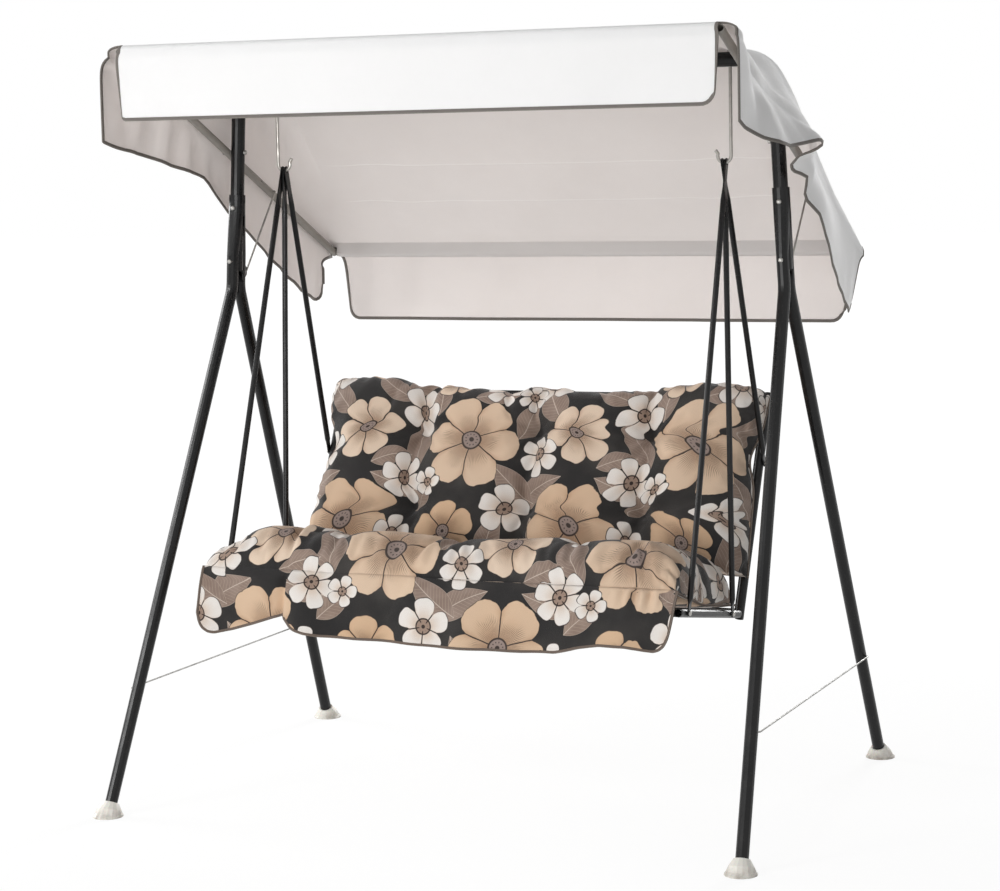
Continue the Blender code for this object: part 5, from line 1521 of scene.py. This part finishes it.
    def end_valance(self, top_x: Points, share: Points, name: str) -> Points:
        """A front or rear valance: round its cross tube, then down to a hem with rounded corners.

        A corner's round is b less the root of b squared less the squared distance into it.

        Args:
            top_x: distances from the middle along the edge that it hangs from.
            share: the share of the drop, a column.
            name: front or rear.

        Returns:
            The points, from just under the edge to the hem.
        """
        if name == "front":
            end, tube, wrap, drop = -1, self.front_tube, self.front_wrap, self.front_drop
        else:
            end, tube, wrap, drop = 1, self.rear_tube, self.rear_wrap, self.rear_drop
        turns = np.linspace(self.tangent_turn(tube, wrap), end * pi / 2, 9)[1:]
        ring = self.on_round(tube, wrap, turns)
        limit = np.abs(top_x).max()
        (left_top, left_hem, left_round), (right_top, right_hem, right_round) = VALANCE_SIDES[name]
        bend = np.where(top_x < 0, left_round, right_round)
        beyond = np.clip(np.abs(top_x) - (limit - bend), 0.0, bend)
        short = bend - np.sqrt(bend**2 - beyond**2)
        out = wrap + self.flare * share + self.valance_folds(top_x, share, name)
        early = 1 - np.exp(-share / 0.08)
        left = -limit + (left_top + limit) * early + (left_hem - left_top) * share
        right = limit + (right_top - limit) * early + (right_hem - right_top) * share
        across = (top_x + limit) / (2 * limit)
        x = np.concatenate([top_x + 0 * turns[:, None], left + (right - left) * across])
        y = np.concatenate([ring[:, :1] + 0 * top_x, tube[0] + end * out])
        z = np.concatenate([ring[:, 1:] + 0 * top_x, tube[1] - (drop - short) * share])
        return np.stack([x, y, z], axis=-1)

    def cut(self) -> tuple[Cloth, dict[str, Points]]:
        """The top with its four valances hung from it, and where each point lies on the cut cloth.

        Returns:
            The cloth, and the point numbers of each valance, its first row on the top.
        """
        grid = self.top()
        middle, outside = grid.shape[1] // 2, self.corner_columns
        across = run_lengths(grid, 1)
        u = np.sign(grid[..., 0]) * np.abs(across - across[:, middle][:, None])
        v = run_lengths(grid, 0)[:, middle][:, None] + 0 * u
        cloth = Cloth(grid, np.stack([u, v], axis=-1))
        share = np.linspace(0, 1, 30)[1:, None]
        bands = {}
        for name, row, end in (("front", 0, -1), ("rear", -1, 1)):
            edge = grid[row, outside:-outside]
            band = self.end_valance(edge[:, 0], share, name)
            lengths = run_lengths(np.concatenate([edge[None], band]), 0)[1:]
            beside = np.broadcast_to(edge[:, 0], lengths.shape)
            places = np.stack([beside, v[row, 0] + end * lengths], axis=-1)
            bands[name] = cloth.hang(cloth.index[row, outside:-outside], band, places)
        for name, column, sign in (("left", 0, -1), ("right", -1, 1)):
            edge = grid[:, column]
            band = self.side_valance(edge, share, name)
            lengths = run_lengths(np.concatenate([edge[None], band]), 0)[1:]
            away = u[:, column][None] + sign * lengths
            places = np.stack([away, np.broadcast_to(v[:, 0], away.shape)], axis=-1)
            bands[name] = cloth.hang(cloth.index[:, column], band, places)
        return cloth, bands

    def build(self, wardrobe: Wardrobe) -> None:
        """Builds the cloth as one sheet, its binding and its two sleeves.

        Args:
            wardrobe: the finishes.
        """
        cloth, bands = self.cut()
        points, uvs = self.settle(np.concatenate(cloth.points)), np.concatenate(cloth.places)
        faces = np.concatenate(cloth.faces).tolist()
        made = make_mesh("canopy_cloth_sheet", points, faces, uvs)
        self.face_up(made)
        wall = made.modifiers.new("thickness", "SOLIDIFY")
        wall.thickness = self.thickness
        wall.offset = 1.0
        wall.material_offset = 1
        wardrobe.wear(made, Look.CANOPY_WHITE, Look.CANOPY_INSIDE_SHADE)
        ring, inner = self.border(cloth.index, bands)
        tape = edge_tape("canopy_binding", points, ring, inner, self.binding, closed=True)
        wardrobe.wear(tape, Look.GREY_TAPE)
        for piece in (made, tape):
            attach(piece, "canopy")
        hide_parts("canopy_cloth")
        sleeves = [
            self.build_sleeve("canopy_front_sleeve", self.front_tube, self.front_wrap, -1, wardrobe),
            self.build_sleeve("canopy_rear_sleeve", self.rear_tube, self.rear_wrap, 1, wardrobe),
        ]

    def face_up(self, made: bpy.types.Object) -> None:
        """Turns the sheet's faces alike, with its top facing up.

        Args:
            made: the sheet.
        """
        work = bmesh.new()
        work.from_mesh(made.data)
        bmesh.ops.recalc_face_normals(work, faces=work.faces)
        if sum(face.normal.z * face.calc_area() for face in work.faces) < 0:
            bmesh.ops.reverse_faces(work, faces=work.faces)
        work.to_mesh(made.data)
        work.free()

    def valance_folds(self, x: Points, share: Points, name: str) -> Points:
        """How far a front or rear valance stands out in soft upright folds that grow towards its hem.

        Args:
            x: distances from the middle.
            share: the share of the drop, a column.
            name: front or rear.

        Returns:
            The distances outwards, rows by columns.
        """
        if name == "front":
            fold = 0.0022 * np.sin(5.1 * x + 0.6) + 0.0012 * np.sin(17.0 * x + 2.0)
            fold = fold + 0.003 * bell(x, 0.42, 0.03) + 0.003 * bell(x, -0.2, 0.05)
        else:
            fold = 0.0035 * np.sin(9.0 * x + 1.1) + 0.0016 * np.sin(31.0 * x)
            fold = fold + 0.006 * bell(x, 0.30, 0.035) - 0.005 * bell(x, -0.35, 0.05)
        return fold * share

    def side_valance(self, base: Points, share: Points, name: str) -> Points:
        """A side valance, drawn from its edge to a hem that kicks out in front and folds under at the pivot.

        Each point is the edge plus a share of the way to the hem, and the corners leave the edge early.

        Args:
            base: the cloth's edge along the side tube, one row a point.
            share: the share of the drop, a column.
            name: left or right.

        Returns:
            The points, from under the edge to the hem.
        """
        table = np.array(SIDE_HEMS[name])
        place = base[:, 1]
        hem = np.stack([np.interp(place, table[:, 0], table[:, column]) for column in (1, 2, 3)], axis=-1)
        kernel = np.array([0.15, 0.7, 0.15])
        hem[1:-1] = sum(weight * hem[k : len(hem) - 2 + k] for k, weight in enumerate(kernel))
        way = hem - base
        front = smooth(-place, 0.36, 0.50)
        rear = smooth(place, 0.48, 0.60)
        early = (1 - np.exp(-share / 0.07)) * (1 - share) + share
        ends = np.maximum(front, rear * (1.0 if name == "left" else 0.25))[None]
        go = share * (1 - ends) + early * ends
        sign = -1 if name == "left" else 1
        belly = np.sin(pi * share)
        bulge = 0.010 * belly * smooth(place, -0.30, 0.0) * smooth(-place, -0.5, -0.2)
        fold = smooth(place, -0.378, -0.356) * (1 - smooth(place, -0.35, -0.20))
        bulge = bulge + (0.016 if name == "right" else 0.012) * fold * smooth(share, 0.05, 0.5)
        free = smooth(-place, 0.0, 0.1) * (1 - front)
        swing, ruffle = (0.0022, 0.0012) if name == "right" else (0.0080, 0.0030)
        bulge = bulge + swing * np.sin(2 * pi * place / 0.105 + 0.8) * (belly + 0.3 * share) * free
        bulge = bulge + ruffle * np.sin(2 * pi * place / 0.09 + 2.0) * share * smooth(place, 0.15, 0.25)
        x = base[:, 0] + way[:, 0] * go + sign * bulge
        y = base[:, 1] + way[:, 1] * go
        z = base[:, 2] + way[:, 2] * share
        return np.stack([x, y, z], axis=-1)

    def build_sleeve(self, name: str, tube: tuple[float, float], wrap: float, end: int, wardrobe: Wardrobe
                     ) -> bpy.types.Object:
        """Sews a sleeve under a cross tube: from the panel, round the tube's underside, to the valance.

        Args:
            name: the piece's name.
            tube: the tube's reach and height.
            wrap: how far the cloth over it is from its axis.
            end: -1 in front, 1 behind.
            wardrobe: the finishes.

        Returns:
            The sleeve.
        """
        lean = self.tangent_turn(tube, wrap)
        radius = wrap - self.thickness
        tangent = np.array([-end * cos(lean), end * sin(lean)])
        turns = end * np.linspace(radians(-90), radians(-250), 15)
        ring = self.on_round(tube, radius, turns)
        plumb = (radius + end * wrap * sin(lean)) / cos(lean)
        depths = ((plumb + 0.0040, 0.0006), (plumb + 0.0015, -0.0004), (plumb, -0.0030))
        start = [self.on_round(tube, wrap + lift, lean)[0] + tangent * reach for reach, lift in depths]
        hung = ((0.006, -0.0008), (0.010, -0.0002), (0.014, 0.0006))
        valance = [[tube[0] + end * (wrap + lift), tube[1] - drop] for drop, lift in hung]
        path = np.concatenate([np.stack(start), ring, np.array(valance)])
        x = np.linspace(-self.sleeve_half_width, self.sleeve_half_width, 121)
        points = np.stack(np.broadcast_arrays(x[None, :], path[:, :1], path[:, 1:]), axis=-1)
        pucker = 0.0008 * np.sin(160 * x)[None, :] * bell(np.arange(len(path)), 9, 4)[:, None]
        points = points + np.array([0.0, 0.0, 1.0]) * pucker[..., None]
        index = np.arange(points.shape[0] * points.shape[1]).reshape(points.shape[:2])
        lengths = run_lengths(points, 0)
        uvs = np.stack([np.broadcast_to(x[None, :], lengths.shape), lengths], axis=-1).reshape(-1, 2)
        made = make_mesh(name, points.reshape(-1, 3), grid_faces(index).tolist(), uvs)
        wall = made.modifiers.new("thickness", "SOLIDIFY")
        wall.thickness = self.sleeve_thickness
        wall.offset = 0.0
        wardrobe.wear(made, Look.CANOPY_INSIDE_SHADE)
        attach(made, "canopy")
        return made

    def settle(self, points: Points) -> Points:
        """Lets the top sag between its supports and stretches creases from the beam to the corners.

        Args:
            points: the cloth's points, one row each.

        Returns:
            The points, moved up or down.
        """
        x, y, z = points.T
        top = smooth(z - self.tube_line(y), 0.02, 0.05) * smooth(0.70 - np.abs(x), 0.0, 0.10)
        crease = 0.0025 * np.sin(26 * (np.abs(x) - 0.55 * np.abs(y))) * bell(np.abs(x) - 0.5, 0.0, 0.2)
        bow = np.cos(x * pi / 1.4)
        sag = 0.004 * bow * bell(y, -0.24, 0.15) + 0.006 * bow * bell(y, 0.32, 0.17)
        away = np.minimum(np.abs(y - self.front_tube[0]), np.abs(y - self.rear_tube[0]))
        free = smooth(away, 0.02, 0.10) * smooth(np.abs(y - self.ridge[0]), 0.03, 0.10)
        return points + np.array([0.0, 0.0, 1.0]) * (top * free * (crease - sag))[:, None]

    def border(self, index: Points, bands: dict[str, Points]) -> tuple[Points, Points]:
        """The cloth's one closed edge: down, along and up each valance, and over each corner between them.

        Args:
            index: point numbers of the top.
            bands: point numbers of each valance, its first row on the top.

        Returns:
            Point numbers along the edge, and for each one a number further into the cloth.
        """

        def around(band: Points) -> list[Points]:
            """Down the first column, along the last row and up the last column.

            Args:
                band: point numbers of a valance, its first row on the top.

            Returns:
                Point numbers along its free edge, and for each a number further in.
            """
            hem, above = band[-1].copy(), band[-2].copy()
            above[0], above[-1] = band[-2, 1], band[-2, -2]
            line = np.concatenate([band[1:-1, 0], hem, band[-2:0:-1, -1]])
            beside = np.concatenate([band[1:-1, 1], above, band[-2:0:-1, -2]])
            return [line, beside]

        front, right, rear, left = (bands[name] for name in ("front", "right", "rear", "left"))
        corner = slice(0, self.corner_columns + 1)
        parts = [
            around(front),
            [index[0, ::-1][corner][::-1], index[1, ::-1][corner][::-1]],
            around(right),
            [index[-1, ::-1][corner], index[-2, ::-1][corner]],
            around(rear[:, ::-1]),
            [index[-1][corner][::-1], index[-2][corner][::-1]],
            around(left[:, ::-1]),
            [index[0][corner], index[1][corner]],
        ]
        return np.concatenate([part[0] for part in parts]), np.concatenate([part[1] for part in parts])


@dataclass
class Stand:
    """The black tube stand, its fasteners and its white foot cups."""

    def build(self, wardrobe: Wardrobe) -> None:
        """Dresses the stand's nodes.

        Args:
            wardrobe: the finishes.
        """
        for prefix in ("top_beam", "leg_front", "leg_rear"):
            wardrobe.dress(prefix, Look.GLOSS_BLACK)
        wardrobe.dress("foot_cup", Look.WHITE_CUP)
        for prefix in ("leg_bolt", "leg_nut", "canopy_pivot", "hook_nut"):
            wardrobe.dress(prefix, Look.ZINC_STEEL)
        wardrobe.dress("leg_tie", Look.TIE_STEEL)
        wardrobe.dress("seat_hook", Look.BRIGHT_STEEL)
        wardrobe.dress("stay_bracket", Look.GLOSS_BLACK)


@dataclass
class SeatFrame:
    """The hung frame: rods, side tubes, rails and nets."""

    def build(self, wardrobe: Wardrobe) -> None:
        """Dresses the seat's nodes.

        Args:
            wardrobe: the finishes.
        """
        for prefix in ("hanger_front", "hanger_middle", "hanger_rear"):
            wardrobe.dress(prefix, Look.GLOSS_BLACK)
        for prefix in ("seat_side", "back_upright", "seat_front_rail", "seat_rear_rail", "back_top_rail"):
            wardrobe.dress(prefix, Look.SEAT_BLACK)
        for prefix in ("seat_net", "back_net"):
            wardrobe.dress(prefix, Look.SEAT_BLACK)
        wardrobe.dress("hanger_bolt", Look.ZINC_STEEL)


@dataclass
class CanopyFrame:
    """The tilting frame under the cloth and its stays."""

    def build(self, wardrobe: Wardrobe) -> None:
        """Dresses the canopy frame's nodes.

        Args:
            wardrobe: the finishes.
        """
        for prefix in ("canopy_side_tube", "canopy_front_tube", "canopy_rear_tube"):
            wardrobe.dress(prefix, Look.SATIN_GREY)
        wardrobe.dress("canopy_stay", Look.ZINC_STEEL)


# Studio


@dataclass(frozen=True)
class Lamp:
    """A square soft lamp: where it hangs, the point that it faces, its side and its power in watts."""

    name: str
    place: tuple[float, float, float]
    aim: tuple[float, float, float]
    size: float
    power: float


@dataclass
class Studio:
    """A pale floor, soft lamps and the photograph's camera."""

    camera_at: tuple[float, float, float] = (2.529, -5.936, 1.575)
    azimuth: float = radians(23.0917)
    pitch: float = radians(6.3494)
    roll: float = radians(-1.1616)
    lens: float = 94.678
    ambient: float = 0.32
    floor_reach: float = 40.0
    floor_glow: float = 1.04
    floor_share: float = 0.86
    floor_near: float = 1.8
    floor_far: float = 5.0
    lamps: tuple[Lamp, ...] = (
        Lamp("key_lamp", (-4.2, -5.6, 4.2), (0.0, 0.0, 1.0), 1.8, 165.0),
        Lamp("front_lamp", (-0.6, -7.5, 1.4), (0.0, 0.0, 1.1), 2.4, 182.0),
        Lamp("rear_lamp", (0.95, 6.4, 2.6), (0.0, 0.0, 1.3), 2.0, 270.0),
        Lamp("side_lamp", (-6.0, 0.8, 2.6), (0.0, 0.0, 1.2), 2.0, 175.0),
    )

    def build_camera(self) -> None:
        """Places the camera from its heading, pitch and roll."""
        heading, level = self.azimuth, cos(self.pitch)
        look = np.array([-sin(heading) * level, cos(heading) * level, -sin(self.pitch)])
        right = np.array([cos(heading), sin(heading), 0.0])
        up = np.cross(right, look)
        across = cos(self.roll) * right + sin(self.roll) * up
        over = -sin(self.roll) * right + cos(self.roll) * up
        turned = Matrix(np.stack([across, over, -look], axis=1).tolist()).to_4x4()
        turned.translation = self.camera_at
        data = bpy.data.cameras.new("camera")
        data.lens, data.sensor_width, data.sensor_fit = self.lens, 36.0, "HORIZONTAL"
        camera = bpy.data.objects.new("camera", data)
        camera.matrix_world = turned
        bpy.context.scene.collection.objects.link(camera)
        bpy.context.scene.camera = camera

    def build_lamp(self, lamp: Lamp) -> None:
        """Hangs a lamp, turned to the point that it faces.

        Args:
            lamp: the lamp.
        """
        data = bpy.data.lights.new(lamp.name, "AREA")
        data.energy, data.size = lamp.power, lamp.size
        made = bpy.data.objects.new(lamp.name, data)
        away = unit(np.array(lamp.place) - np.array(lamp.aim))
        side = unit(np.cross([0.0, 0.0, 1.0], away))
        turned = Matrix(np.stack([side, np.cross(away, side), away], axis=1).tolist()).to_4x4()
        turned.translation = lamp.place
        made.matrix_world = turned
        bpy.context.scene.collection.objects.link(made)

    def seen_straight(self, tree: Tree) -> Wire:
        """1 for rays from the camera, and for those that metal or glass sends on.

        Args:
            tree: the tree to build it in.

        Returns:
            The mask.
        """
        path = tree.add("ShaderNodeLightPath")
        rays = ("Is Camera Ray", "Is Glossy Ray", "Is Transmission Ray")
        seen = [Wire(tree, path.outputs[name]) for name in rays]
        return tree.math("MAXIMUM", tree.math("MAXIMUM", seen[0], seen[1]), seen[2])

    def build_world(self) -> None:
        """A white surround that lights the object less than it shows."""
        world = bpy.data.worlds.new("surround")
        world.use_nodes = True
        world.node_tree.nodes.clear()
        tree = Tree(world.node_tree)
        strength = self.seen_straight(tree) * (1.0 - self.ambient) + self.ambient
        back = tree.add("ShaderNodeBackground", {0: WHITE, 1: strength})
        tree.add("ShaderNodeOutputWorld", {0: Wire(tree, back.outputs[0])})
        bpy.context.scene.world = world

    def build_floor(self) -> None:
        """A wide pale floor that shows near white, keeps the shadow and turns pure white far away."""
        corners = ((-1.0, -1.0), (1.0, -1.0), (1.0, 1.0), (-1.0, 1.0))
        points = np.array([[x * self.floor_reach, y * self.floor_reach, 0.0] for x, y in corners])
        floor = make_mesh("floor", points, [(0, 1, 2, 3)])
        made = bpy.data.materials.new("pale_floor")
        made.use_nodes = True
        made.node_tree.nodes.clear()
        tree = Tree(made.node_tree)
        grain = tree.noise(tree.place(), 30.0, 3.0)
        tint = tree.mix(grain, (0.86, 0.86, 0.855, 1.0), (0.90, 0.90, 0.895, 1.0))
        matt = tree.add("ShaderNodeBsdfDiffuse", {"Color": tint})
        glow = tree.add("ShaderNodeEmission", {"Color": WHITE, "Strength": self.floor_glow})
        across, along, _ = tree.split(tree.place())
        far = tree.ramp((across * across + along * along) ** 0.5, self.floor_near, self.floor_far)
        share = self.seen_straight(tree) * (far * (1.0 - self.floor_share) + self.floor_share)
        shaders = {0: share, 1: Wire(tree, matt.outputs[0]), 2: Wire(tree, glow.outputs[0])}
        both = tree.add("ShaderNodeMixShader", shaders)
        tree.add("ShaderNodeOutputMaterial", {0: Wire(tree, both.outputs[0])})
        floor.data.materials.append(made)

    def build(self) -> None:
        """Sets up the camera, lamps, surround and floor."""
        self.build_camera()
        self.build_world()
        self.build_floor()
        for lamp in self.lamps:
            self.build_lamp(lamp)
        bpy.context.scene.view_settings.view_transform = "Standard"


def main() -> None:
    """Builds the object's pieces in order."""
    logging.basicConfig(level=logging.INFO, format="%(name)s: %(message)s")
    studio = Studio()
    studio.build()
    wardrobe = Wardrobe()
    for part in (Stand(), SeatFrame(), CanopyFrame(), Canopy(), Cushions()):
        part.build(wardrobe)
        log.info("%s done", type(part).__name__)


if __name__ == "__main__":
    main()
